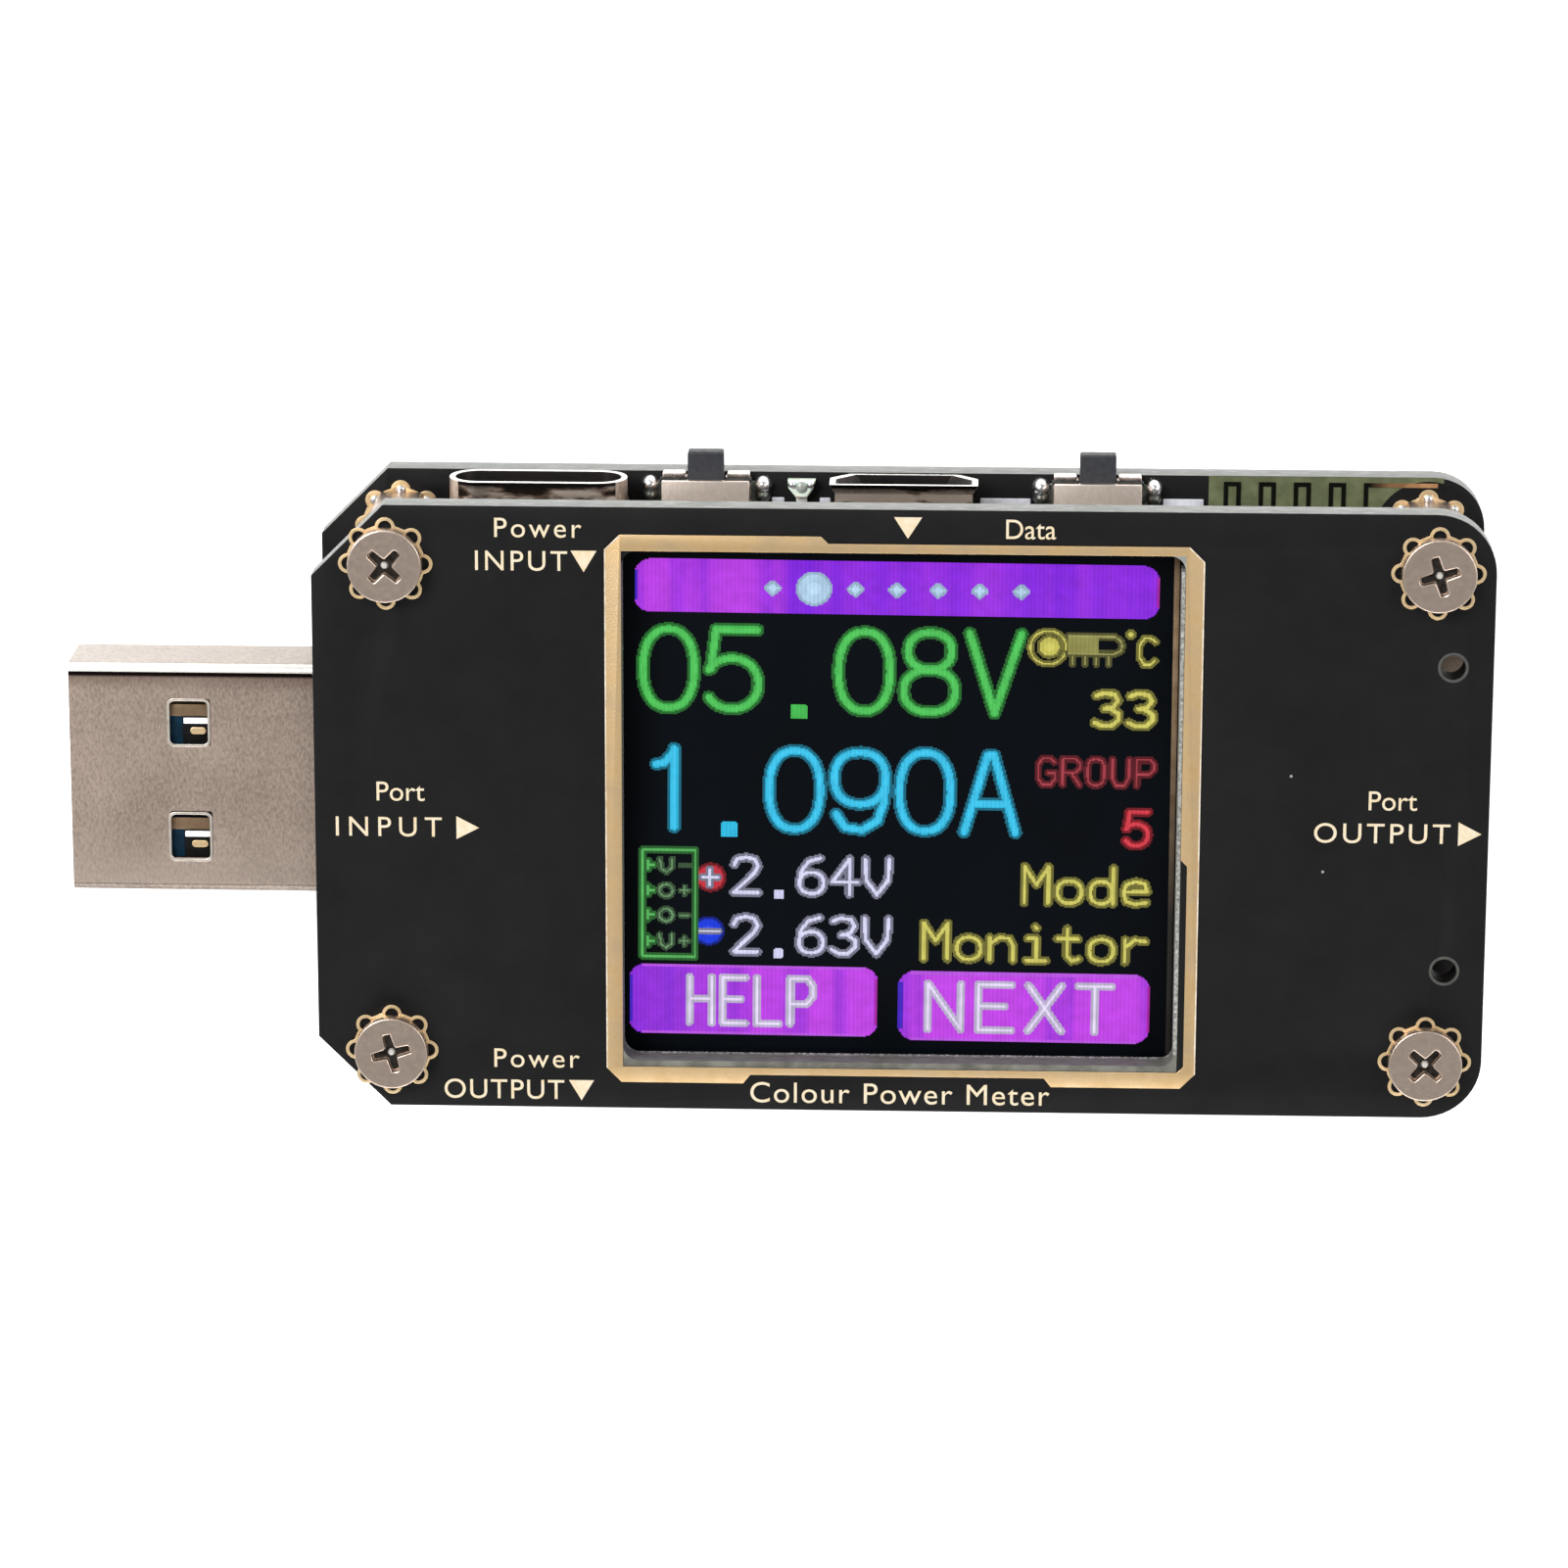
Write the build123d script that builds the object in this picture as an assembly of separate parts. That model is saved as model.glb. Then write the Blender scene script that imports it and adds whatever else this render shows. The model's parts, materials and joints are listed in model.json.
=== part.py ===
from build123d import *
import os

# A pass-through USB power meter: two black circuit boards held 7 mm apart by four standoffs, with
# the connectors, the switches and the display between them.
# Frame: the meter lies on its rear screw heads. +Z is the way the display faces, +Y is the edge
# with the micro-USB socket, -X is the USB-A plug. The origin is the bottom centre of the whole box.
# All sizes are in millimetres.

# ---- driving dimensions ------------------------------------------------------------------------
OVERALL_LENGTH = 71.2        # plug tip to the far edge of the boards
BOARD_LENGTH = 58.4          # of the front panel
BOARD_WIDTH = 31.0
BOARD_THICK = 1.6
BOARD_GAP = 7.0              # clear height between the two boards
PANEL_CHAMFER = 3.6          # corners of the front panel at the plug end
PANEL_CORNER_RADIUS = 3.0    # corners of the front panel at the socket end
MAIN_BOARD_EXTRA = 0.35      # how far the main board stands out past the panel at the plug end
MAIN_BOARD_CHAMFER = 3.4
MAIN_BOARD_CORNER_RADIUS = 2.6

SCREW_INSET_Y = 2.95         # screw centre to the long edges
SCREW_INSET_PLUG_END = 3.7
SCREW_INSET_SOCKET_END = 2.85
SCREW_HEAD_RADIUS = 1.84
SCREW_HEAD_HEIGHT = 0.75
SCREW_HEAD_ROUND = 0.22
SCREW_SHANK_RADIUS = 0.98
SCREW_LENGTH = 4.5
SCREW_HOLE_RADIUS = 1.1
CROSS_ARM = 0.9              # half length of a cross recess arm
CROSS_WIDTH = 0.42
CROSS_DEPTH = 0.45
CROSS_TURNS = (45.0, 14.0, 12.0, 45.0)   # how far each screw happened to be turned

STANDOFF_ACROSS_FLATS = 3.5
STANDOFF_BORE_RADIUS = 1.0

PAD_THICK = 0.05             # copper and gold on the board faces
PAD_RING_RADIUS = 1.95
PAD_LOBE_CENTRE = 1.84
PAD_LOBE_RADIUS = 0.5
PAD_LOBES = 8
VIA_RADIUS = 0.25

WINDOW_LENGTH = 27.83
WINDOW_WIDTH = 26.6
WINDOW_CENTRE_X = 6.45
WINDOW_CORNER_RADIUS = 0.8
TRIM_WIDTH = 0.82
TRIM_CHAMFER = 0.75
TRIM_STEP = 0.36             # how far the trim narrows beside the printed labels
INDICATOR_X = 33.6
INDICATOR_Y = 7.8
INDICATOR_HOLE_RADIUS = 0.6

DISPLAY_RECESS = 1.9         # polariser face below the front face of the panel
DISPLAY_LENGTH = 36.0
DISPLAY_WIDTH = 29.6
DISPLAY_RIGHT = 21.5
GLASS_THICK = 0.45
LEDGE_LENGTH = 5.0           # rear glass left bare for the driver chip and the flex
FLEX_WIDTH = 11.0
FLEX_THICK = 0.12

PLUG_WIDTH = 11.9
PLUG_HEIGHT = 4.5
PLUG_LENGTH = 18.6
PLUG_CENTRE_Y = 0.35
PLUG_CORNER = 0.5
LATCH_WINDOW_OFFSET = 2.93   # the two latch windows of the plug's shell, to each side of its middle
LATCH_WINDOW_WIDTH = 2.44
LATCH_WINDOW_SPAN = (5.0, 7.15)   # from the plug's tip
LATCH_WINDOW_CORNER = 0.15
SOCKET_WIDTH = 13.2
SOCKET_HEIGHT = 5.8
SOCKET_LENGTH = 14.0
SOCKET_FLARE_WIDTH = 14.2
SOCKET_FLARE_HEIGHT = 6.3
SOCKET_FLARE_LENGTH = 2.6
SHEET = 0.3                  # shell sheet metal

TYPE_C_WIDTH = 8.94
TYPE_C_HEIGHT = 3.16
TYPE_C_LENGTH = 7.3
TYPE_C_X = -12.0
MICRO_WIDTH = 6.9
MICRO_HEIGHT = 2.5
MICRO_LENGTH = 5.3
MICRO_FLARE = 0.28
MICRO_X = 6.37

SWITCH_X = (-3.6, 16.1)
SWITCH_WIDTH = 4.4
SWITCH_DEPTH = 2.75
SWITCH_HEIGHT = 1.9
PLUNGER_WIDTH = 1.82
PLUNGER_THICK = 0.95
PLUNGER_REACH = 1.3          # how far the plunger stands out past the board edge
PLUNGER_TRAVEL = 0.25

# ---- places worked out from them ---------------------------------------------------------------
X_PLUG_TIP = -OVERALL_LENGTH / 2
X_RIGHT = OVERALL_LENGTH / 2
X_LEFT = X_RIGHT - BOARD_LENGTH
Y_EDGE = BOARD_WIDTH / 2
Z_MAIN_REAR = SCREW_HEAD_HEIGHT + PAD_THICK
Z_MAIN = Z_MAIN_REAR + BOARD_THICK
Z_PANEL_REAR = Z_MAIN + BOARD_GAP
Z_PANEL = Z_PANEL_REAR + BOARD_THICK
Z_DISPLAY = Z_PANEL - DISPLAY_RECESS
SCREW_PLACES = [
    (X_LEFT + SCREW_INSET_PLUG_END, Y_EDGE - SCREW_INSET_Y),
    (X_RIGHT - SCREW_INSET_SOCKET_END, Y_EDGE - SCREW_INSET_Y),
    (X_LEFT + SCREW_INSET_PLUG_END, -Y_EDGE + SCREW_INSET_Y),
    (X_RIGHT - SCREW_INSET_SOCKET_END, -Y_EDGE + SCREW_INSET_Y),
]
DISPLAY_LEFT = DISPLAY_RIGHT - DISPLAY_LENGTH
GLASS_LEFT = DISPLAY_LEFT + LEDGE_LENGTH


# ---- helpers -----------------------------------------------------------------------------------
def block(x_span, y_span, z_span):
    """A box between three pairs of limits."""
    size = [high - low for low, high in (x_span, y_span, z_span)]
    centre = [(high + low) / 2 for low, high in (x_span, y_span, z_span)]
    return Pos(*centre) * Box(*size)


def group(solids):
    """Separate solids kept together in one node."""
    return Compound(children=list(solids))


def section_tube(outer, inner, length):
    """A tube with the given section, running from the mouth at y = 0 towards -y."""
    return extrude(Plane.XZ * (outer - inner), length)


def rounded(width, height, radius, low=0.0):
    """A rounded rectangle in section, standing on the level low."""
    return Pos(0, low + height / 2) * RectangleRounded(width, height, radius)


def seat(solid, x, y, turn):
    """Puts a connector or switch on the main board; turn 0 faces +Y, 90 faces -X."""
    return Pos(x, y, Z_MAIN) * Rot(0, 0, turn) * solid


PLUG_SEAT = (X_PLUG_TIP, PLUG_CENTRE_Y, 90)
SOCKET_SEAT = (X_RIGHT, 0, -90)
TYPE_C_IN_SEAT = (TYPE_C_X, Y_EDGE, 0)
TYPE_C_OUT_SEAT = (TYPE_C_X, -Y_EDGE, 180)
MICRO_SEAT = (MICRO_X, Y_EDGE - 0.05, 0)

# shield tabs that pass through the board: (seat, local x, local y)
TAB_SIZE = (0.3, 1.1)
TABS = [(PLUG_SEAT, side * (PLUG_WIDTH / 2 - 0.15), y) for side in (-1, 1) for y in (-14.6, -17.6)]
TABS += [(SOCKET_SEAT, side * (SOCKET_WIDTH / 2 - 0.15), y)
         for side in (-1, 1) for y in (-4.4, -10.2)]
for type_c_seat in (TYPE_C_IN_SEAT, TYPE_C_OUT_SEAT):
    TABS += [(type_c_seat, side * (TYPE_C_WIDTH / 2 - 0.15), y)
             for side in (-1, 1) for y in (-1.9, -6.1)]
TABS += [(MICRO_SEAT, side * (MICRO_WIDTH / 2 - 0.15), -2.2) for side in (-1, 1)]
SOCKET_PINS = [(SOCKET_SEAT, x, -11.6) for x in (-3.5, -1.0, 1.0, 3.5)]
SOCKET_PINS += [(SOCKET_SEAT, x, -13.1) for x in (-4.0, -2.0, 0.0, 2.0, 4.0)]


# ---- boards ------------------------------------------------------------------------------------
def board_blank(z_low, length, corner_chamfer, corner_radius):
    """A board with chamfered corners at the plug end and rounded ones at the socket end."""
    outline = Rectangle(length, BOARD_WIDTH)
    by_x = outline.vertices().group_by(Axis.X)
    outline = chamfer(by_x[0], corner_chamfer)
    by_x = outline.vertices().group_by(Axis.X)
    outline = fillet(by_x[-1], corner_radius)
    return Pos(X_RIGHT - length / 2, 0, z_low) * extrude(outline, BOARD_THICK)


def screw_holes(z_low, height):
    hole = Cylinder(SCREW_HOLE_RADIUS, height, align=(Align.CENTER, Align.CENTER, Align.MIN))
    return [Pos(x, y, z_low) * hole for x, y in SCREW_PLACES]


def front_panel():
    panel = board_blank(Z_PANEL_REAR, BOARD_LENGTH, PANEL_CHAMFER, PANEL_CORNER_RADIUS)
    for hole in screw_holes(Z_PANEL_REAR, BOARD_THICK):
        panel -= hole
    window = extrude(RectangleRounded(WINDOW_LENGTH, WINDOW_WIDTH, WINDOW_CORNER_RADIUS), BOARD_THICK)
    panel -= Pos(WINDOW_CENTRE_X, 0, Z_PANEL_REAR) * window
    peep = Cylinder(INDICATOR_HOLE_RADIUS, BOARD_THICK, align=(Align.CENTER, Align.CENTER, Align.MIN))
    for side in (-1, 1):
        panel -= Pos(INDICATOR_X, side * INDICATOR_Y, Z_PANEL_REAR) * peep
    return panel


def tab_box(seat_place, x, y, grow, z_low, z_high):
    width, length = TAB_SIZE[0] + grow, TAB_SIZE[1] + grow
    spans = ((x - width / 2, x + width / 2), (y - length / 2, y + length / 2), (z_low, z_high))
    return seat(block(*spans), *seat_place)


def main_board():
    length = BOARD_LENGTH + MAIN_BOARD_EXTRA
    board = board_blank(Z_MAIN_REAR, length, MAIN_BOARD_CHAMFER, MAIN_BOARD_CORNER_RADIUS)
    for hole in screw_holes(Z_MAIN_REAR, BOARD_THICK):
        board -= hole
    for place, x, y in TABS:
        board -= tab_box(place, x, y, 0.1, -BOARD_THICK, 0)
    pin_hole = Cylinder(0.35, BOARD_THICK, align=(Align.CENTER, Align.CENTER, Align.MAX))
    for place, x, y in SOCKET_PINS:
        board -= seat(Pos(x, y, 0) * pin_hole, *place)
    return board


def pad_ring():
    ring = Circle(PAD_RING_RADIUS)
    for lobe in PolarLocations(PAD_LOBE_CENTRE, PAD_LOBES):
        ring += lobe * Circle(PAD_LOBE_RADIUS)
    ring -= Circle(SCREW_HOLE_RADIUS)
    for lobe in PolarLocations(PAD_LOBE_CENTRE, PAD_LOBES):
        ring -= lobe * Circle(VIA_RADIUS)
    return extrude(ring, PAD_THICK)


def pad_rings(z_low):
    return group(Pos(x, y, z_low) * pad_ring() for x, y in SCREW_PLACES)


def window_trim():
    """The gold frame round the window; it narrows beside the labels and at its lower right."""
    left = WINDOW_CENTRE_X - WINDOW_LENGTH / 2
    right = WINDOW_CENTRE_X + WINDOW_LENGTH / 2
    top = WINDOW_WIDTH / 2
    x_out, y_out = left - TRIM_WIDTH, top + TRIM_WIDTH
    x_far = right + TRIM_WIDTH + 0.1
    cut, step = TRIM_CHAMFER, TRIM_STEP
    outer = [
        (x_out, y_out - cut), (x_out + cut, y_out),
        (2.4, y_out), (2.4 + step, y_out - step),
        (x_far - cut, y_out - step), (x_far, y_out - step - cut),
        (x_far, -y_out + cut), (x_far - cut, -y_out),
        (13.7 + step, -y_out), (13.7, -y_out + step + 0.1),
        (-1.05, -y_out + step + 0.1), (-1.05 - step, -y_out),
        (x_out + cut, -y_out), (x_out, -y_out + cut),
    ]
    notch = 0.32
    inner = [
        (left, top), (right, top), (right, -2.2), (right + notch, -2.2 - notch),
        (right + notch, -top + notch), (right, -top), (left, -top),
    ]
    trim = make_face(Polyline(*outer, close=True)) - make_face(Polyline(*inner, close=True))
    return Pos(0, 0, Z_PANEL) * extrude(trim, PAD_THICK)


# ---- fasteners ---------------------------------------------------------------------------------
def screw(turn):
    """A pan-head screw with its head above z = 0 and its shank below."""
    head = Cylinder(SCREW_HEAD_RADIUS, SCREW_HEAD_HEIGHT, align=(Align.CENTER, Align.CENTER, Align.MIN))
    head = fillet(head.edges().group_by(Axis.Z)[-1], SCREW_HEAD_ROUND)
    for angle in (turn, turn + 90):
        arm = Box(2 * CROSS_ARM, CROSS_WIDTH, 2 * CROSS_DEPTH)
        head -= Pos(0, 0, SCREW_HEAD_HEIGHT) * Rot(0, 0, angle) * arm
    shank = Cylinder(SCREW_SHANK_RADIUS, SCREW_LENGTH, align=(Align.CENTER, Align.CENTER, Align.MAX))
    shank = chamfer(shank.edges().group_by(Axis.Z)[0], 0.25)
    return head + shank


def front_screws():
    return group(Pos(x, y, Z_PANEL + PAD_THICK) * screw(turn)
                 for (x, y), turn in zip(SCREW_PLACES, CROSS_TURNS))


def rear_screws():
    return group(Pos(x, y, Z_MAIN_REAR - PAD_THICK) * Rot(180, 0, 0) * screw(turn + 20)
                 for (x, y), turn in zip(SCREW_PLACES, CROSS_TURNS))


def standoffs():
    hexagon = RegularPolygon(STANDOFF_ACROSS_FLATS / 2, 6, major_radius=False)
    post = extrude(hexagon - Circle(STANDOFF_BORE_RADIUS), BOARD_GAP - PAD_THICK)
    return group(Pos(x, y, Z_MAIN + PAD_THICK) * post for x, y in SCREW_PLACES)


# ---- display -----------------------------------------------------------------------------------
Z_GLASS = Z_DISPLAY - 0.15
Z_REAR_GLASS = Z_GLASS - GLASS_THICK
Z_TRAY_RIM = Z_REAR_GLASS - GLASS_THICK
Z_TRAY = Z_TRAY_RIM - 1.5
HALF_DISPLAY = DISPLAY_WIDTH / 2


def display_polariser():
    return block((GLASS_LEFT + 0.6, DISPLAY_RIGHT - 0.5), (-HALF_DISPLAY + 0.6, HALF_DISPLAY - 0.6),
                 (Z_GLASS, Z_DISPLAY))


def display_front_glass():
    return block((GLASS_LEFT, DISPLAY_RIGHT), (-HALF_DISPLAY, HALF_DISPLAY), (Z_REAR_GLASS, Z_GLASS))


def display_rear_glass():
    return block((DISPLAY_LEFT, DISPLAY_RIGHT), (-HALF_DISPLAY, HALF_DISPLAY), (Z_TRAY_RIM, Z_REAR_GLASS))


def display_driver_chip():
    return block((DISPLAY_LEFT + 2.2, DISPLAY_LEFT + 3.4), (-6.5, 6.5), (Z_REAR_GLASS, Z_REAR_GLASS + 0.3))


def display_tray():
    rim = 0.7
    tray = block((DISPLAY_LEFT, DISPLAY_RIGHT), (-HALF_DISPLAY, HALF_DISPLAY), (Z_TRAY, Z_TRAY_RIM))
    pocket = block((DISPLAY_LEFT + rim, DISPLAY_RIGHT - rim), (-HALF_DISPLAY + rim, HALF_DISPLAY - rim),
                   (Z_TRAY + 0.4, Z_TRAY_RIM))
    return tray - pocket


def display_light_guide():
    rim = 0.75
    return block((DISPLAY_LEFT + rim, DISPLAY_RIGHT - rim), (-HALF_DISPLAY + rim, HALF_DISPLAY - rim),
                 (Z_TRAY + 0.4, Z_TRAY_RIM))


def display_flex():
    """The flat tail: off the glass ledge, round the tray's end and down to the main board."""
    top = Z_REAR_GLASS + FLEX_THICK
    low = Z_MAIN + 0.02
    bend = 0.7
    reach = DISPLAY_LEFT - 1.1
    outer = [(DISPLAY_LEFT + 1.4, top), (reach, top), (reach, low), (DISPLAY_LEFT + 2.6, low)]
    inner = [(DISPLAY_LEFT + 1.4, top - FLEX_THICK), (reach + FLEX_THICK, top - FLEX_THICK),
             (reach + FLEX_THICK, low + FLEX_THICK), (DISPLAY_LEFT + 2.6, low + FLEX_THICK)]
    band = [FilletPolyline(*outer, radius=bend), FilletPolyline(*inner, radius=bend - FLEX_THICK),
            Line(outer[0], inner[0]), Line(outer[-1], inner[-1])]
    tail = extrude(Plane.XZ * make_face(band), FLEX_WIDTH)
    return Pos(0, FLEX_WIDTH / 2, 0) * tail


def display_tape():
    """Black foam tape between the display's front glass and the rear of the panel."""
    left, width = GLASS_LEFT + 0.02, 0.54
    across, levels = (-HALF_DISPLAY, HALF_DISPLAY), (Z_GLASS, Z_PANEL_REAR)
    frame = block((left, left + width), across, levels)
    frame += block((DISPLAY_RIGHT - 0.45, DISPLAY_RIGHT), across, levels)
    for side in (-1, 1):
        edge = sorted((side * (HALF_DISPLAY - width), side * HALF_DISPLAY))
        frame += block((left, DISPLAY_RIGHT), edge, levels)
    return frame


# ---- connectors --------------------------------------------------------------------------------
def with_tabs(shell, place):
    """Adds the shield tabs that belong to the connector at this place."""
    solid = seat(shell, *place)
    for tab_place, x, y in TABS:
        if tab_place == place:
            solid += tab_box(place, x, y, 0, -BOARD_THICK, 1.0)
    return solid


def usb_a_plug_shell():
    outer = rounded(PLUG_WIDTH, PLUG_HEIGHT, PLUG_CORNER)
    inner = rounded(PLUG_WIDTH - 2 * SHEET, PLUG_HEIGHT - 2 * SHEET, PLUG_CORNER - SHEET, SHEET)
    shell = section_tube(outer, inner, PLUG_LENGTH)
    for side in (-1, 1):
        middle = side * LATCH_WINDOW_OFFSET
        window = block((middle - LATCH_WINDOW_WIDTH / 2, middle + LATCH_WINDOW_WIDTH / 2),
                       (-LATCH_WINDOW_SPAN[1], -LATCH_WINDOW_SPAN[0]), (-1, PLUG_HEIGHT + 1))
        shell -= fillet(window.edges().filter_by(Axis.Z), LATCH_WINDOW_CORNER)
    return with_tabs(shell, PLUG_SEAT)


def usb_a_plug_insulator():
    gap = SHEET + 0.02
    width, height = PLUG_WIDTH - 2 * gap, PLUG_HEIGHT - 2 * gap
    body = extrude(Plane.XZ.offset(12.4) * rounded(width, height, PLUG_CORNER - gap, gap), 5.6)
    body += block((-width / 2 + 0.35, width / 2 - 0.35), (-12.4, -0.5), (gap, 2.2))
    return seat(body, *PLUG_SEAT)


def usb_a_plug_contacts():
    strips = [block((x - 0.5, x + 0.5), (-8.6, -1.2 if abs(x) > 2 else -2.2), (2.2, 2.3))
              for x in (-3.5, -1.0, 1.0, 3.5)]
    strips += [block((x - 0.35, x + 0.35), (-11.6, -9.4), (2.2, 2.32))
               for x in (-4.0, -2.0, 0.0, 2.0, 4.0)]
    tails = [block((x - 0.22, x + 0.22), (-19.3, -PLUG_LENGTH - 0.05), (0.0, 0.25))
             for x in (-4.0, -3.0, -2.0, -1.0, 0.0, 1.0, 2.0, 3.0, 4.0)]
    return group(seat(solid, *PLUG_SEAT) for solid in strips + tails)


def usb_a_socket_shell():
    outer = rounded(SOCKET_WIDTH, SOCKET_HEIGHT, 0.6)
    inner = rounded(SOCKET_WIDTH - 2 * SHEET, SOCKET_HEIGHT - 2 * SHEET, 0.3, SHEET)
    straight = SOCKET_LENGTH - SOCKET_FLARE_LENGTH
    shell = Pos(0, -SOCKET_FLARE_LENGTH, 0) * section_tube(outer, inner, straight)
    wide = rounded(SOCKET_FLARE_WIDTH, SOCKET_FLARE_HEIGHT, 0.6)
    wide_inner = rounded(SOCKET_FLARE_WIDTH - 2 * SHEET, SOCKET_FLARE_HEIGHT - 2 * SHEET, 0.3, SHEET)
    back = Plane.XZ.offset(SOCKET_FLARE_LENGTH)
    flare = loft([Plane.XZ * wide, back * outer]) - loft([Plane.XZ * wide_inner, back * inner])
    pin_slot = block((-5.9, 5.9), (-SOCKET_LENGTH, -10.9), (0, SHEET))
    return with_tabs(shell + flare - pin_slot, SOCKET_SEAT)


def usb_a_socket_insulator():
    gap = SHEET + 0.02
    rear = rounded(SOCKET_WIDTH - 2 * gap, SOCKET_HEIGHT - 2 * gap, 0.3, gap)
    body = extrude(Plane.XZ.offset(9.4) * rear, SOCKET_LENGTH - 9.4)
    body += block((-5.55, 5.55), (-9.4, -1.7), (2.9, 4.75))
    return seat(body, *SOCKET_SEAT)


def usb_a_socket_contacts():
    strips = [block((x - 0.5, x + 0.5), (-9.4, -3.2), (2.78, 2.9)) for x in (-3.5, -1.0, 1.0, 3.5)]
    strips += [block((x - 0.3, x + 0.3), (-3.0, -2.0), (2.8, 2.9)) for x in (-4.0, -2.0, 0.0, 2.0, 4.0)]
    solids = [seat(solid, *SOCKET_SEAT) for solid in strips]
    for place, x, y in SOCKET_PINS:
        solids.append(seat(block((x - 0.2, x + 0.2), (y - 0.2, y + 0.2), (-BOARD_THICK, SHEET)), *place))
    return group(solids)


def type_c_shell(place):
    radius = TYPE_C_HEIGHT / 2 - 0.08
    outer = rounded(TYPE_C_WIDTH, TYPE_C_HEIGHT, radius)
    inner = rounded(TYPE_C_WIDTH - 2 * SHEET, TYPE_C_HEIGHT - 2 * SHEET, radius - SHEET, SHEET)
    shell = section_tube(outer, inner, TYPE_C_LENGTH)
    return with_tabs(shell, place)


def type_c_insulator(place):
    width, height = TYPE_C_WIDTH - 2 * SHEET - 0.04, TYPE_C_HEIGHT - 2 * SHEET - 0.04
    rear = extrude(Plane.XZ.offset(5.2) * rounded(width, height, height / 2 - 0.05, SHEET + 0.02), 2.1)
    middle = TYPE_C_HEIGHT / 2
    tongue = block((-3.33, 3.33), (-5.2, -0.75), (middle - 0.35, middle + 0.35))
    tongue = fillet(tongue.edges().filter_by(Axis.Z).group_by(Axis.Y)[-1], 0.5)
    return seat(rear + tongue, *place)


def type_c_contacts(place):
    middle = TYPE_C_HEIGHT / 2
    strips = []
    for number in range(12):
        x = (number - 5.5) * 0.5
        for low in (middle - 0.4, middle + 0.35):
            strips.append(block((x - 0.13, x + 0.13), (-4.9, -1.3), (low, low + 0.05)))
        strips.append(block((x - 0.13, x + 0.13), (-8.0, -TYPE_C_LENGTH), (0.0, 0.2)))
    return group(seat(strip, *place) for strip in strips)


def micro_section(grow, low):
    """The micro-USB outline: flat top, lower corners cut away towards the board."""
    half, top = MICRO_WIDTH / 2 + grow, MICRO_HEIGHT + grow
    cut_in, cut_up = 1.0, 1.1
    points = [(-half, top), (half, top), (half, low + cut_up),
              (half - cut_in, low), (-half + cut_in, low), (-half, low + cut_up)]
    return make_face(Polyline(*points, close=True))


def micro_usb_shell():
    outer, inner = micro_section(0, 0), micro_section(-SHEET, SHEET)
    lip = 0.5
    shell = Pos(0, -lip, 0) * section_tube(outer, inner, MICRO_LENGTH - lip)
    back = Plane.XZ.offset(lip)
    flare = loft([Plane.XZ * micro_section(MICRO_FLARE, 0), back * outer])
    flare -= loft([Plane.XZ * micro_section(MICRO_FLARE - SHEET, SHEET), back * inner])
    return with_tabs(shell + flare, MICRO_SEAT)


def micro_usb_insulator():
    rear = extrude(Plane.XZ.offset(3.9) * micro_section(-SHEET - 0.02, SHEET + 0.02), MICRO_LENGTH - 3.9)
    tongue = block((-1.85, 1.85), (-3.9, -0.9), (1.35, 1.95))
    return seat(rear + tongue, *MICRO_SEAT)


def micro_usb_contacts():
    strips = []
    for x in (-1.3, -0.65, 0.0, 0.65, 1.3):
        strips.append(block((x - 0.18, x + 0.18), (-3.9, -1.2), (1.27, 1.35)))
        strips.append(block((x - 0.18, x + 0.18), (-6.1, -MICRO_LENGTH), (0.0, 0.2)))
    return group(seat(strip, *MICRO_SEAT) for strip in strips)


# ---- switches ----------------------------------------------------------------------------------
# Local frame of a switch: y = 0 at the board edge, -y inwards, z = 0 on the board.
SWITCH_HALF = SWITCH_WIDTH / 2
SWITCH_FRONT = -0.12
SWITCH_BACK = SWITCH_FRONT - SWITCH_DEPTH
COVER_SHEET = 0.16
PLUNGER_LOW = 0.5
PLUNGER_HIGH = PLUNGER_LOW + PLUNGER_THICK
FLANGE_BACK = -1.15
NOSE_LENGTH = 0.3
POCKET_BACK = -2.1
DOME_SHEET = 0.08
TOUCHING_GAP = 0.02
SLOT_CLEARANCE = 0.05


def switch_base():
    inside = SWITCH_HALF - COVER_SHEET - 0.01
    base = block((-inside, inside), (SWITCH_BACK, SWITCH_FRONT - COVER_SHEET - 0.01),
                 (0.0, SWITCH_HEIGHT - COVER_SHEET - 0.01))
    base -= block((-1.45, 1.45), (POCKET_BACK, 0), (PLUNGER_LOW - 0.15, PLUNGER_HIGH + 0.1))
    return base


def switch_cover():
    top = block((-SWITCH_HALF, SWITCH_HALF), (SWITCH_BACK, SWITCH_FRONT),
                (SWITCH_HEIGHT - COVER_SHEET, SWITCH_HEIGHT))
    front = block((-SWITCH_HALF, SWITCH_HALF), (SWITCH_FRONT - COVER_SHEET, SWITCH_FRONT),
                  (0.15, SWITCH_HEIGHT))
    half = PLUNGER_WIDTH / 2 + SLOT_CLEARANCE
    front -= block((-half, half), (-1, 0), (0, PLUNGER_HIGH + SLOT_CLEARANCE))
    cover = top + front
    for side in (-1, 1):
        wall = sorted((side * (SWITCH_HALF - COVER_SHEET), side * SWITCH_HALF))
        foot = sorted((side * (SWITCH_HALF - COVER_SHEET), side * (SWITCH_HALF + 0.75)))
        cover += block(wall, (SWITCH_BACK + 0.4, SWITCH_FRONT), (0.0, SWITCH_HEIGHT))
        cover += block(foot, (-1.55, -0.45), (0.0, COVER_SHEET))
    return cover


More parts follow.
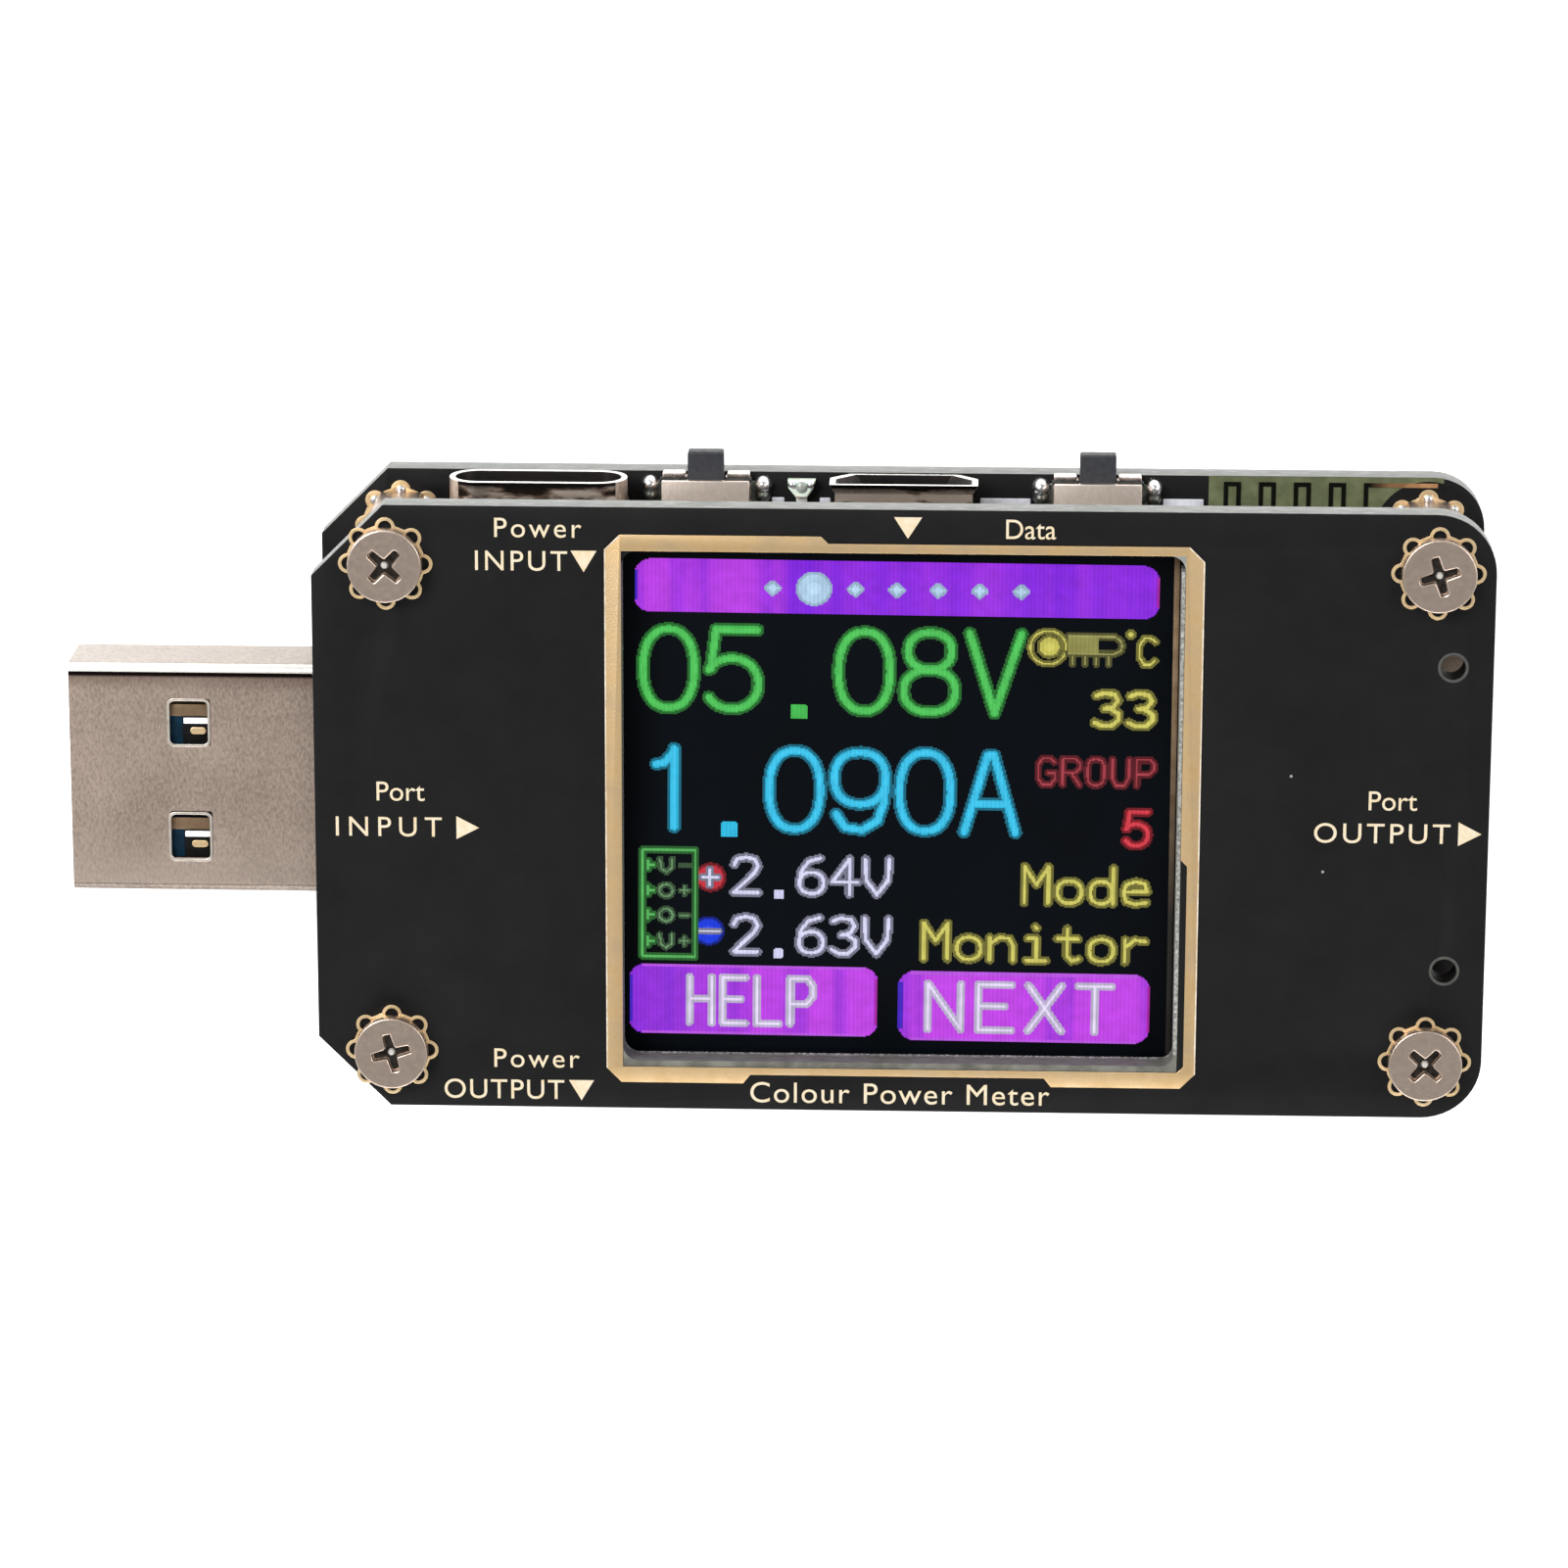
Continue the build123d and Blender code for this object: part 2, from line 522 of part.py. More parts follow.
def switch_plunger():
    half = PLUNGER_WIDTH / 2
    stem = block((-half, half), (FLANGE_BACK, PLUNGER_REACH), (PLUNGER_LOW, PLUNGER_HIGH))
    stem = fillet(stem.edges().group_by(Axis.Y)[-1], 0.12)
    flange_front = SWITCH_FRONT - COVER_SHEET - 0.03
    flange = block((-half - 0.35, half + 0.35), (FLANGE_BACK, flange_front), (PLUNGER_LOW, PLUNGER_HIGH))
    nose = block((-0.35, 0.35), (FLANGE_BACK - NOSE_LENGTH, FLANGE_BACK),
                 (PLUNGER_LOW + 0.2, PLUNGER_HIGH - 0.2))
    return stem + flange + nose


def switch_dome():
    """The snap disc, drawn as pressed, so that the plunger's nose only meets it at full travel."""
    plate_back = POCKET_BACK + TOUCHING_GAP
    plate_front = plate_back + DOME_SHEET
    crown_front = FLANGE_BACK - NOSE_LENGTH - PLUNGER_TRAVEL - TOUCHING_GAP
    crown_half = 0.42
    plate = block((-1.2, 1.2), (plate_back, plate_front), (PLUNGER_LOW, PLUNGER_HIGH))
    crown = block((-crown_half, crown_half), (plate_front, crown_front),
                  (PLUNGER_LOW + 0.15, PLUNGER_HIGH - 0.15))
    return plate + chamfer(crown.edges().group_by(Axis.Y)[-1], DOME_SHEET)


SWITCHES = {
    "top_left": (SWITCH_X[0], Y_EDGE, 0),
    "top_right": (SWITCH_X[1], Y_EDGE, 0),
    "bottom_left": (SWITCH_X[0], -Y_EDGE, 180),
    "bottom_right": (SWITCH_X[1], -Y_EDGE, 180),
}


# ---- electronic components ---------------------------------------------------------------------
def chip(x, y, length, width, height, leads_x=0, leads_y=0, pitch=0.8):
    """A moulded chip with flat leads along its two x sides, its two y sides, or all four."""
    stand = 0.12
    reach, half = 0.7, pitch * 0.225
    solids = [block((x - length / 2, x + length / 2), (y - width / 2, y + width / 2),
                    (Z_MAIN + stand, Z_MAIN + height))]
    for number in range(leads_x):
        middle = y + (number - (leads_x - 1) / 2) * pitch
        for side in (-1, 1):
            span = sorted((x + side * length / 2, x + side * (length / 2 + reach)))
            solids.append(block(span, (middle - half, middle + half), (Z_MAIN, Z_MAIN + 0.2)))
    for number in range(leads_y):
        middle = x + (number - (leads_y - 1) / 2) * pitch
        for side in (-1, 1):
            span = sorted((y + side * width / 2, y + side * (width / 2 + reach)))
            solids.append(block((middle - half, middle + half), span, (Z_MAIN, Z_MAIN + 0.2)))
    return group(solids)


def small_parts(places, length, width, height):
    """Two-ended chip parts; turned ones lie along y."""
    solids = []
    for x, y, turned in places:
        half_x, half_y = (width / 2, length / 2) if turned else (length / 2, width / 2)
        across = (y - half_y, y + half_y)
        solids.append(block((x - half_x, x + half_x), across, (Z_MAIN, Z_MAIN + height)))
    return group(solids)


CAPACITORS = [(-0.1, 12.5, True), (2.05, 11.9, True), (-9.5, 6.4, False), (-3.5, 9.4, False),
              (11.6, 12.4, True), (20.6, 12.9, True), (-19.6, 8.6, True), (-20.4, -8.6, True),
              (11.0, -13.4, True), (6.5, -13.4, True), (2.0, -13.4, True), (24.6, -9.4, False),
              (28.6, -12.6, True), (22.0, -13.2, True)]
RESISTORS = [(-6.6, 9.6, True), (-0.6, 9.4, False), (13.6, 10.4, False), (16.6, 10.4, False),
             (9.2, -11.2, False), (4.4, -11.2, False), (-0.4, -11.2, False), (-5.2, -10.4, False),
             (26.0, -13.6, False), (24.6, -11.4, False), (20.6, 9.6, False), (29.0, 8.9, False),
             (-9.8, -6.4, False), (-16.4, 7.2, False), (-16.4, -6.6, False)]


def shunt_resistors():
    return small_parts([(13.8, 2.4, True), (17.8, 2.4, True)], 6.3, 3.1, 0.6)


def microcontroller():
    return chip(2.6, -3.6, 7.0, 7.0, 1.4, leads_x=12, leads_y=12, pitch=0.5)


def memory_chip():
    return chip(-7.2, 2.2, 3.9, 4.9, 1.5, leads_x=4, pitch=1.27)


def voltage_regulator():
    return chip(13.6, -6.4, 3.5, 6.5, 1.6, leads_x=3, pitch=2.3)


def radio_chip():
    return chip(24.6, 10.2, 4.4, 3.2, 1.1, leads_y=6, pitch=0.65)


def crystal():
    can = block((-7.4, -4.2), (-6.7, -4.2), (Z_MAIN, Z_MAIN + 0.8))
    return fillet(can.edges().filter_by(Axis.Z), 0.3)


def indicator_lamps():
    lamps = []
    for side in (-1, 1):
        y = side * (INDICATOR_Y + 0.1)
        along = (INDICATOR_X - 0.8, INDICATOR_X + 0.8)
        lamps.append(block(along, (y - 0.4, y + 0.4), (Z_MAIN, Z_MAIN + 0.6)))
    return group(lamps)


def edge_lamp():
    base = block((0.5, 1.9), (14.0, 15.2), (Z_MAIN, Z_MAIN + 0.35))
    lens = block((0.65, 1.75), (14.2, 15.0), (Z_MAIN + 0.35, Z_MAIN + 0.85))
    return base + fillet(lens.edges().group_by(Axis.Z)[-1], 0.2)


def antenna_trace():
    """A printed meander along the top edge, then a straight run towards the screw ring."""
    width, top, foot = 0.22, 15.2, 12.9
    solids = None
    z_span = (Z_MAIN, Z_MAIN + PAD_THICK)

    def run(x_low, x_high, y_low, y_high):
        nonlocal solids
        piece = block((x_low, x_high), (y_low, y_high), z_span)
        solids = piece if solids is None else solids + piece

    start, pitch, loop = 22.45, 1.76, 0.86
    for number in range(4):
        x = start + number * pitch
        run(x, x + width, foot, top)
        run(x + loop - width, x + loop, foot, top)
        run(x, x + loop, top - width, top)
        run(x + loop - width, x + pitch + width, foot, foot + width)
    last = start + 4 * pitch
    run(last, last + width, foot, top)
    run(last, 33.2, top - width, top)
    return solids


def solder_joints():
    """Domes of solder under the main board, round the shield tabs and the socket's pins."""
    joints = []
    for places, radius, height in ((TABS, 0.95, 0.55), (SOCKET_PINS, 0.55, 0.6)):
        sphere_radius = (radius * radius + height * height) / (2 * height)
        cap = Pos(0, 0, sphere_radius - height) * Sphere(sphere_radius)
        cap &= Pos(0, 0, -height / 2) * Box(4, 4, height)
        for place, x, y in places:
            joints.append(seat(Pos(x, y, -BOARD_THICK) * cap, *place))
    return group(joints)


# ---- the whole meter ---------------------------------------------------------------------------
def all_parts():
    parts = {
        "front_panel": front_panel(),
        "window_trim": window_trim(),
        "front_pad_rings": pad_rings(Z_PANEL),
        "main_board": main_board(),
        "main_pad_rings_front": pad_rings(Z_MAIN),
        "main_pad_rings_rear": pad_rings(Z_MAIN_REAR - PAD_THICK),
        "antenna_trace": antenna_trace(),
        "standoffs": standoffs(),
        "front_screws": front_screws(),
        "rear_screws": rear_screws(),
        "display_polariser": display_polariser(),
        "display_front_glass": display_front_glass(),
        "display_rear_glass": display_rear_glass(),
        "display_driver_chip": display_driver_chip(),
        "display_light_guide": display_light_guide(),
        "display_tray": display_tray(),
        "display_flex": display_flex(),
        "display_tape": display_tape(),
        "usb_a_plug_shell": usb_a_plug_shell(),
        "usb_a_plug_insulator": usb_a_plug_insulator(),
        "usb_a_plug_contacts": usb_a_plug_contacts(),
        "usb_a_socket_shell": usb_a_socket_shell(),
        "usb_a_socket_insulator": usb_a_socket_insulator(),
        "usb_a_socket_contacts": usb_a_socket_contacts(),
        "micro_usb_shell": micro_usb_shell(),
        "micro_usb_insulator": micro_usb_insulator(),
        "micro_usb_contacts": micro_usb_contacts(),
        "microcontroller": microcontroller(),
        "memory_chip": memory_chip(),
        "radio_chip": radio_chip(),
        "voltage_regulator": voltage_regulator(),
        "crystal": crystal(),
        "shunt_resistors": shunt_resistors(),
        "capacitors": small_parts(CAPACITORS, 2.0, 1.25, 0.9),
        "resistors": small_parts(RESISTORS, 1.6, 0.8, 0.45),
        "indicator_lamps": indicator_lamps(),
        "edge_lamp": edge_lamp(),
        "solder_joints": solder_joints(),
    }
    for name, place in (("type_c_in", TYPE_C_IN_SEAT), ("type_c_out", TYPE_C_OUT_SEAT)):
        parts[name + "_shell"] = type_c_shell(place)
        parts[name + "_insulator"] = type_c_insulator(place)
        parts[name + "_contacts"] = type_c_contacts(place)
    for name, place in SWITCHES.items():
        parts[name + "_switch_base"] = seat(switch_base(), *place)
        parts[name + "_switch_cover"] = seat(switch_cover(), *place)
        parts[name + "_switch_plunger"] = seat(switch_plunger(), *place)
        parts[name + "_switch_dome"] = seat(switch_dome(), *place)
    return parts


os.makedirs("parts", exist_ok=True)
for node_name, shape in all_parts().items():
    export_step(shape, f"parts/{node_name}.step")
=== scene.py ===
import json
import math

import bmesh
import bpy
from mathutils import Matrix, Vector


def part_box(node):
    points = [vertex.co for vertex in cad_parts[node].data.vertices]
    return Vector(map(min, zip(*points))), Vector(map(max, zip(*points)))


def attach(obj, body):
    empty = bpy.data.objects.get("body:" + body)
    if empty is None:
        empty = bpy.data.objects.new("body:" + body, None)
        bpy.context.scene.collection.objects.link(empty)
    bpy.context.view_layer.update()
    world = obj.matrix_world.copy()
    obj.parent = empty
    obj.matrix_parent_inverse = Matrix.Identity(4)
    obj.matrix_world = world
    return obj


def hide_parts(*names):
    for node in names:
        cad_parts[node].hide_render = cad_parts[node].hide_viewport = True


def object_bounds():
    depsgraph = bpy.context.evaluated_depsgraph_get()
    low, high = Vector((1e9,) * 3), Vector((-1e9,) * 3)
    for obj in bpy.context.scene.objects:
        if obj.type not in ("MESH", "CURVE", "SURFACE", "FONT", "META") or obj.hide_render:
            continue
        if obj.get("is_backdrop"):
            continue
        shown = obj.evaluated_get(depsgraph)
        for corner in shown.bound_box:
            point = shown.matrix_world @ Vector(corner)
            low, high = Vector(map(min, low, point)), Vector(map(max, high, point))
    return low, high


# The looks of a pass-through USB power meter. Pieces are drawn in millimetres in the row frame and
# stored in metres. +Z is the way the display faces, +Y the edge with the micro-USB socket.

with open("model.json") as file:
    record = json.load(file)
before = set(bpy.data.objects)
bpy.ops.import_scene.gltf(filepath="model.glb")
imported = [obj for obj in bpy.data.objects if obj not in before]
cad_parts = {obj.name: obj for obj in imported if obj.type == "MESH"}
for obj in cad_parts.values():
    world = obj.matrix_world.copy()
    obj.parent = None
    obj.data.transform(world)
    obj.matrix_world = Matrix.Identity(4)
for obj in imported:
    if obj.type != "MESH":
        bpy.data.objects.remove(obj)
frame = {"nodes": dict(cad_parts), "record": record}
cad_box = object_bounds()
NODES = frame["nodes"]
SLOT_OF = {part["node"]: part["material_slot"] for part in frame["record"]["subparts"]}
METRE = 1000.0
METER_BODY = "meter"


def node_box(name):
    """A CAD node's lowest and highest corner in millimetres."""
    low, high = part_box(name)
    return low * METRE, high * METRE


PANEL_LOW, PANEL_HIGH = node_box("front_panel")
BOARD_HIGH = node_box("main_board")[1]
Z_PANEL = PANEL_HIGH.z
Z_BOARD = BOARD_HIGH.z
Z_SCREEN = node_box("display_polariser")[1].z

SWITCHES = ("top_left", "top_right", "bottom_left", "bottom_right")
SMOOTH_ANGLE = 35.0                    # sharper edges than this many degrees stay sharp
HOLE_X, HOLE_Y = 33.6, 7.8             # the two indicator holes
WINDOW_X, WINDOW_Y = (-7.465, 20.365), (-13.3, 13.3)
WINDOW_RADIUS = 0.8
RIM_RIGHT, RIM_BOTTOM = 0.2, 0.33      # sawn laminate that shows inside the gold
LETTER_THICK = 0.03
SCREW_HEAD = node_box("front_screws")[1].z - node_box("front_pad_rings")[1].z
HEAD_RADIUS = 1.84
SHANK_RADIUS = 0.98
SHANK_LENGTH = 4.45
THREAD_PITCH = 0.4
CROSS_TURNS = (45.0, 14.0, 12.0, 45.0)
VIA_CIRCLE = 1.84                      # radius of the circle of eight vias round each screw
PLUG_WINDOWS = ((-30.52, 2.13, -28.6, 4.38), (-30.56, -3.86, -28.6, -1.54))
PLUG_WINDOW_ROUND = 0.26
PLUG_RIM = 0.13
PLUG_BEND = 0.5

# The display's lit area: 128 by 128 cells inside the window.
SCREEN_X = (-7.22, 19.28)
SCREEN_Y = (-12.72, 12.78)
SCREEN_CELLS = 128
CELL_X = (SCREEN_X[1] - SCREEN_X[0]) / SCREEN_CELLS
CELL_Y = (SCREEN_Y[1] - SCREEN_Y[0]) / SCREEN_CELLS
FINE = 3                               # the picture's grid is this many times finer than the cells
SCREEN_TURN = -0.35                    # the display sits a little askew in its tray, degrees
SOFT_EDGE = 0.36                       # half the width in cells of a stroke's dim edge
HOT = 1.12                             # how much brighter a stroke's core is
STRIPE_PITCH = 0.207                   # from one upright stripe of a cell to the next


# ---- materials ---------------------------------------------------------------------------------
class Recipe:
    """A node tree being written: short calls for the nodes that the materials share."""

    def __init__(self, name):
        self.material = bpy.data.materials.new(name)
        self.material.use_nodes = True
        self.tree = self.material.node_tree
        self.shader = self.tree.nodes["Principled BSDF"]
        self.coordinates = self.tree.nodes.new("ShaderNodeTexCoord")

    def add(self, kind, settings=None, **inputs):
        made = self.tree.nodes.new(kind)
        for key, value in (settings or {}).items():
            setattr(made, key, value)
        for key, value in inputs.items():
            self.put(made.inputs[int(key[1:]) if key[0] == "i" and key[1:].isdigit() else key], value)
        return made

    def put(self, socket, value):
        if isinstance(value, bpy.types.NodeSocket):
            self.tree.links.new(value, socket)
        else:
            socket.default_value = value

    def set(self, **values):
        """Values on the shader's own sockets; an underscore stands for a space."""
        for key, value in values.items():
            self.put(self.shader.inputs[key.replace("_", " ")], value)

    def place(self, stretch=(1, 1, 1), turn=(0, 0, 0)):
        """Object coordinates in millimetres, stretched."""
        scale = [METRE * amount for amount in stretch]
        place = self.coordinates.outputs["Object"]
        return self.add("ShaderNodeMapping", i0=place, Scale=scale, Rotation=turn).outputs[0]

    def noise(self, size, detail=3.0, stretch=(1, 1, 1), turn=(0, 0, 0), roughness=0.55):
        """Noise with features about this many millimetres across."""
        return self.add("ShaderNodeTexNoise", Scale=1.0 / size, Detail=detail, Roughness=roughness,
                        Vector=self.place(stretch, turn)).outputs["Fac"]

    def ramp(self, factor, stops):
        made = self.add("ShaderNodeValToRGB", i0=factor)
        elements = made.color_ramp.elements
        for index, (position, colour) in enumerate(stops):
            element = elements[index] if index < 2 else elements.new(position)
            element.position = position
            element.color = (*colour, 1.0)
        return made.outputs["Color"]

    def tones(self, factor, dark, light, low=0.3, high=0.7):
        """A dark colour below the low share of the factor, a light one above the high share."""
        return self.ramp(factor, [(low, dark), (high, light)])

    def remap(self, factor, low, high, from_low=0.3, from_high=0.7):
        node = self.add("ShaderNodeMapRange", i0=factor, i1=from_low, i2=from_high, i3=low, i4=high)
        return node.outputs[0]

    def mix(self, factor, first, second):
        made = self.add("ShaderNodeMix", {"data_type": "RGBA"})
        self.put(made.inputs[0], factor)
        for socket, value in ((made.inputs[6], first), (made.inputs[7], second)):
            self.put(socket, (*value, 1.0) if isinstance(value, tuple) else value)
        return made.outputs[2]

    def math(self, operation, first, second=0.0):
        return self.add("ShaderNodeMath", {"operation": operation}, i0=first, i1=second).outputs[0]

    def weigh(self, first, share, second, other_share):
        """A weighted sum of two factors."""
        return self.math("ADD", self.math("MULTIPLY", first, share),
                         self.math("MULTIPLY", second, other_share))

    def axis(self, source, letter):
        return self.add("ShaderNodeSeparateXYZ", i0=source).outputs[letter.upper()]

    def bump(self, height, depth):
        """Relief of this depth in millimetres."""
        made = self.add("ShaderNodeBump", Height=height, Distance=depth / METRE)
        self.set(Normal=made.outputs[0])

    def specks(self, size, amount):
        """Dust: small dots scattered on a grid of this size; amount is the share of cells that hold one."""
        dot_radius = 0.045
        cells = self.add("ShaderNodeTexVoronoi", Scale=1.0 / size, Randomness=1.0, Vector=self.place())
        near = self.math("LESS_THAN", cells.outputs["Distance"], dot_radius)
        pick = self.math("LESS_THAN", self.axis(cells.outputs["Color"], "x"), amount)
        return self.math("MULTIPLY", near, pick)


def satin(name, dark, light, grain, roughness, metallic=0.0, relief=0.0, relief_size=0.12,
          stretch=(1, 1, 1), specular=0.5):
    """The usual finish: two near colours, uneven gloss and a fine relief."""
    recipe = Recipe(name)
    cloud = recipe.noise(grain, 3.0, stretch)
    recipe.set(Base_Color=recipe.tones(cloud, dark, light), Metallic=metallic, Specular_IOR_Level=specular,
               Roughness=recipe.remap(cloud, roughness[1], roughness[0]))
    if relief:
        recipe.bump(recipe.noise(relief_size, 4.0, stretch), relief)
    return recipe


LAMINATE_DARK = (0.135, 0.14, 0.13)
LAMINATE_LIGHT = (0.185, 0.19, 0.18)
LAMINATE_FIBRE = (0.34, 0.34, 0.33)


def laminate_colour(recipe):
    """The cut edge of glass laminate: thin plies with a few pale fibres."""
    plies = recipe.noise(0.3, 4.0, (0.4, 0.4, 2.6))
    return recipe.ramp(plies, [(0.34, LAMINATE_DARK), (0.58, LAMINATE_LIGHT), (0.72, LAMINATE_FIBRE)])


def board_mask():
    """Satin black solder mask on the flat faces, bare glass laminate on the cut edges."""
    recipe = Recipe("board_mask")
    flat = recipe.math("ABSOLUTE", recipe.axis(recipe.coordinates.outputs["Normal"], "z"))
    is_flat = recipe.math("GREATER_THAN", flat, 0.5)
    cloud = recipe.noise(2.5, 4.0)
    mask = recipe.tones(cloud, (0.0042, 0.0042, 0.0044), (0.0062, 0.0062, 0.0064))
    dusty = recipe.mix(recipe.specks(1.7, 0.16), mask, (0.22, 0.22, 0.23))
    recipe.set(Base_Color=recipe.mix(is_flat, laminate_colour(recipe), dusty),
               Roughness=recipe.remap(recipe.noise(0.6, 4.0), 0.50, 0.46), Specular_IOR_Level=0.13)
    recipe.bump(recipe.noise(0.25, 3.0), 0.004)
    return recipe.material


def bare_laminate():
    """Glass laminate with no mask: olive, with the weave just showing."""
    recipe = Recipe("bare_laminate")
    weave = recipe.add("ShaderNodeTexWave", {"wave_type": "BANDS"}, Scale=3.2, Distortion=0.6,
                       Vector=recipe.place())
    cloud = recipe.noise(0.7, 3.0)
    tone = recipe.math("ADD", recipe.math("MULTIPLY", weave.outputs["Fac"], 0.12), cloud)
    recipe.set(Base_Color=recipe.tones(tone, (0.072, 0.083, 0.040), (0.114, 0.128, 0.066), 0.4, 0.75),
               Roughness=recipe.remap(cloud, 0.5, 0.38), Specular_IOR_Level=0.3)
    recipe.bump(cloud, 0.01)
    return recipe.material


def laminate_edge():
    """The sawn edge of a board."""
    recipe = Recipe("laminate_edge")
    recipe.set(Base_Color=laminate_colour(recipe), Roughness=recipe.remap(recipe.noise(0.4), 0.7, 0.5))
    recipe.bump(recipe.noise(0.15, 3.0, (1, 1, 4)), 0.02)
    return recipe.material


def gold(name, dark, light):
    """Gold plating with a soft, uneven gloss."""
    return plain(name, dark, light, 1.6, (0.36, 0.5), metallic=1.0, relief=0.008)


def printed_trace():
    """A copper trace under dark mask; the mask thins out and shows copper towards its right end."""
    recipe = Recipe("printed_trace")
    along = recipe.axis(recipe.place(), "x")
    end = node_box("antenna_trace")[1].x
    bare = recipe.remap(along, 0.0, 1.0, end - 3.4, end - 1.2)
    cloud = recipe.noise(0.5)
    dark = recipe.tones(cloud, (0.0015, 0.0018, 0.0012), (0.004, 0.0045, 0.003))
    copper = recipe.tones(cloud, (0.20, 0.10, 0.045), (0.34, 0.19, 0.09))
    recipe.set(Base_Color=recipe.mix(bare, dark, copper), Roughness=recipe.remap(cloud, 0.5, 0.35),
               Specular_IOR_Level=0.08)
    return recipe.material


def sandy_nickel(name, dark, light, roughness=(0.36, 0.5), size=0.16, turn=0.0):
    """Nickel-plated sheet with the fine slanting grain that the rolls leave."""
    recipe = Recipe(name)
    grain = recipe.noise(size, 4.0, (1.0, 0.42, 1.0), (0, 0, math.radians(turn)), 0.7)
    tone = recipe.weigh(grain, 0.8, recipe.noise(3.5, 2.0), 0.2)
    sheet = recipe.tones(tone, dark, light, 0.38, 0.62)
    dusty = recipe.mix(recipe.specks(2.6, 0.07), sheet, (0.95, 0.93, 0.9))
    recipe.set(Base_Color=dusty, Metallic=1.0, Roughness=recipe.remap(grain, roughness[1], roughness[0]))
    recipe.bump(grain, 0.012)
    return recipe.material


def reflection_patched_shell(name, mouth, sign, reflection_shift=0.0):
    """A shiny shell with painted dark reflections in long patches, and painted shade that is darkest just
    behind its rolled lip.
    A larger last argument shifts the painted reflections lighter, with fewer dark patches."""
    recipe = Recipe(name)
    depth = recipe.math("MULTIPLY", recipe.math("SUBTRACT", mouth, recipe.axis(recipe.place(), "y")), sign)
    painted_shade_behind_lip = recipe.remap(depth, 1.0, 0.0, 0.16, 0.42)
    cloud = recipe.noise(0.8, 3.0, (0.3, 0.9, 0.9))
    painted_reflections = recipe.ramp(cloud, [(0.42 - reflection_shift, (0.016, 0.012, 0.010)), (0.49 - reflection_shift, (0.16, 0.11, 0.08)),
                                  (0.56 - reflection_shift, (0.58, 0.49, 0.42))])
    recipe.set(Base_Color=recipe.mix(painted_shade_behind_lip, painted_reflections, (0.010, 0.008, 0.008)), Metallic=1.0,
               Roughness=recipe.remap(cloud, 0.4, 0.26))
    recipe.bump(recipe.noise(0.3, 3.0), 0.01)
    return recipe.material


def plain(*finish, **options):
    """The usual finish as a material."""
    return satin(*finish, **options).material


def glass():
    """The display's clear glass."""
    recipe = satin("display_glass", (0.02, 0.025, 0.025), (0.03, 0.035, 0.035), 2.0, (0.05, 0.1))
    recipe.set(Transmission_Weight=0.6, IOR=1.5)
    return recipe.material


def screen_black():
    """The polariser over the unlit panel: near black with a cool cast and faint smears."""
    recipe = Recipe("screen_black")
    cloud = recipe.noise(6.0, 3.0)
    recipe.set(Base_Color=recipe.tones(cloud, (0.0012, 0.0018, 0.0028), (0.002, 0.003, 0.0045)),
               Roughness=recipe.remap(cloud, 0.34, 0.24), Specular_IOR_Level=0.055)
    return recipe.material


def lit(name, colour, other=None, lean=None):
    """Lit display cells. Fine upright stripes stand for the red, green and blue dots of each cell.
    A second colour comes and goes in broad upright bands; lean is its share at two places and those
    places, in millimetres from the left of the picture."""
    recipe = Recipe(name)
    along = recipe.axis(recipe.place(), "x")
    phase = recipe.math("MULTIPLY", along, 2 * math.pi / STRIPE_PITCH)
    stripe = recipe.remap(recipe.math("SINE", phase), 0.86, 1.0, -1.0, 1.0)
    cloud = recipe.remap(recipe.noise(0.7, 1.0), 0.9, 1.06)
    recipe.set(Base_Color=(0.004, 0.004, 0.005, 1.0), Roughness=0.35, Specular_IOR_Level=0.05,
               Emission_Strength=recipe.math("MULTIPLY", stripe, cloud))
    if other:
        bands = recipe.noise(1.9, 2.0, (1.0, 0.03, 1.0), roughness=0.7)
        first_share, last_share, first, last = lean
        strength = recipe.remap(along, first_share, last_share, SCREEN_X[0] + first, SCREEN_X[0] + last)
        share = recipe.math("MULTIPLY", recipe.remap(bands, 0.0, 1.0, 0.30, 0.62), strength)
        recipe.set(Emission_Color=recipe.mix(share, colour, other))
    else:
        recipe.set(Emission_Color=(*colour, 1.0))
    return recipe.material


def milky_lens():
    """Resin that lets light in."""
    recipe = satin("milky_lens", (0.55, 0.60, 0.50), (0.78, 0.80, 0.72), 0.5, (0.15, 0.3))
    recipe.set(Subsurface_Weight=0.4, Subsurface_Scale=0.0006, Coat_Weight=0.4)
    return recipe.material


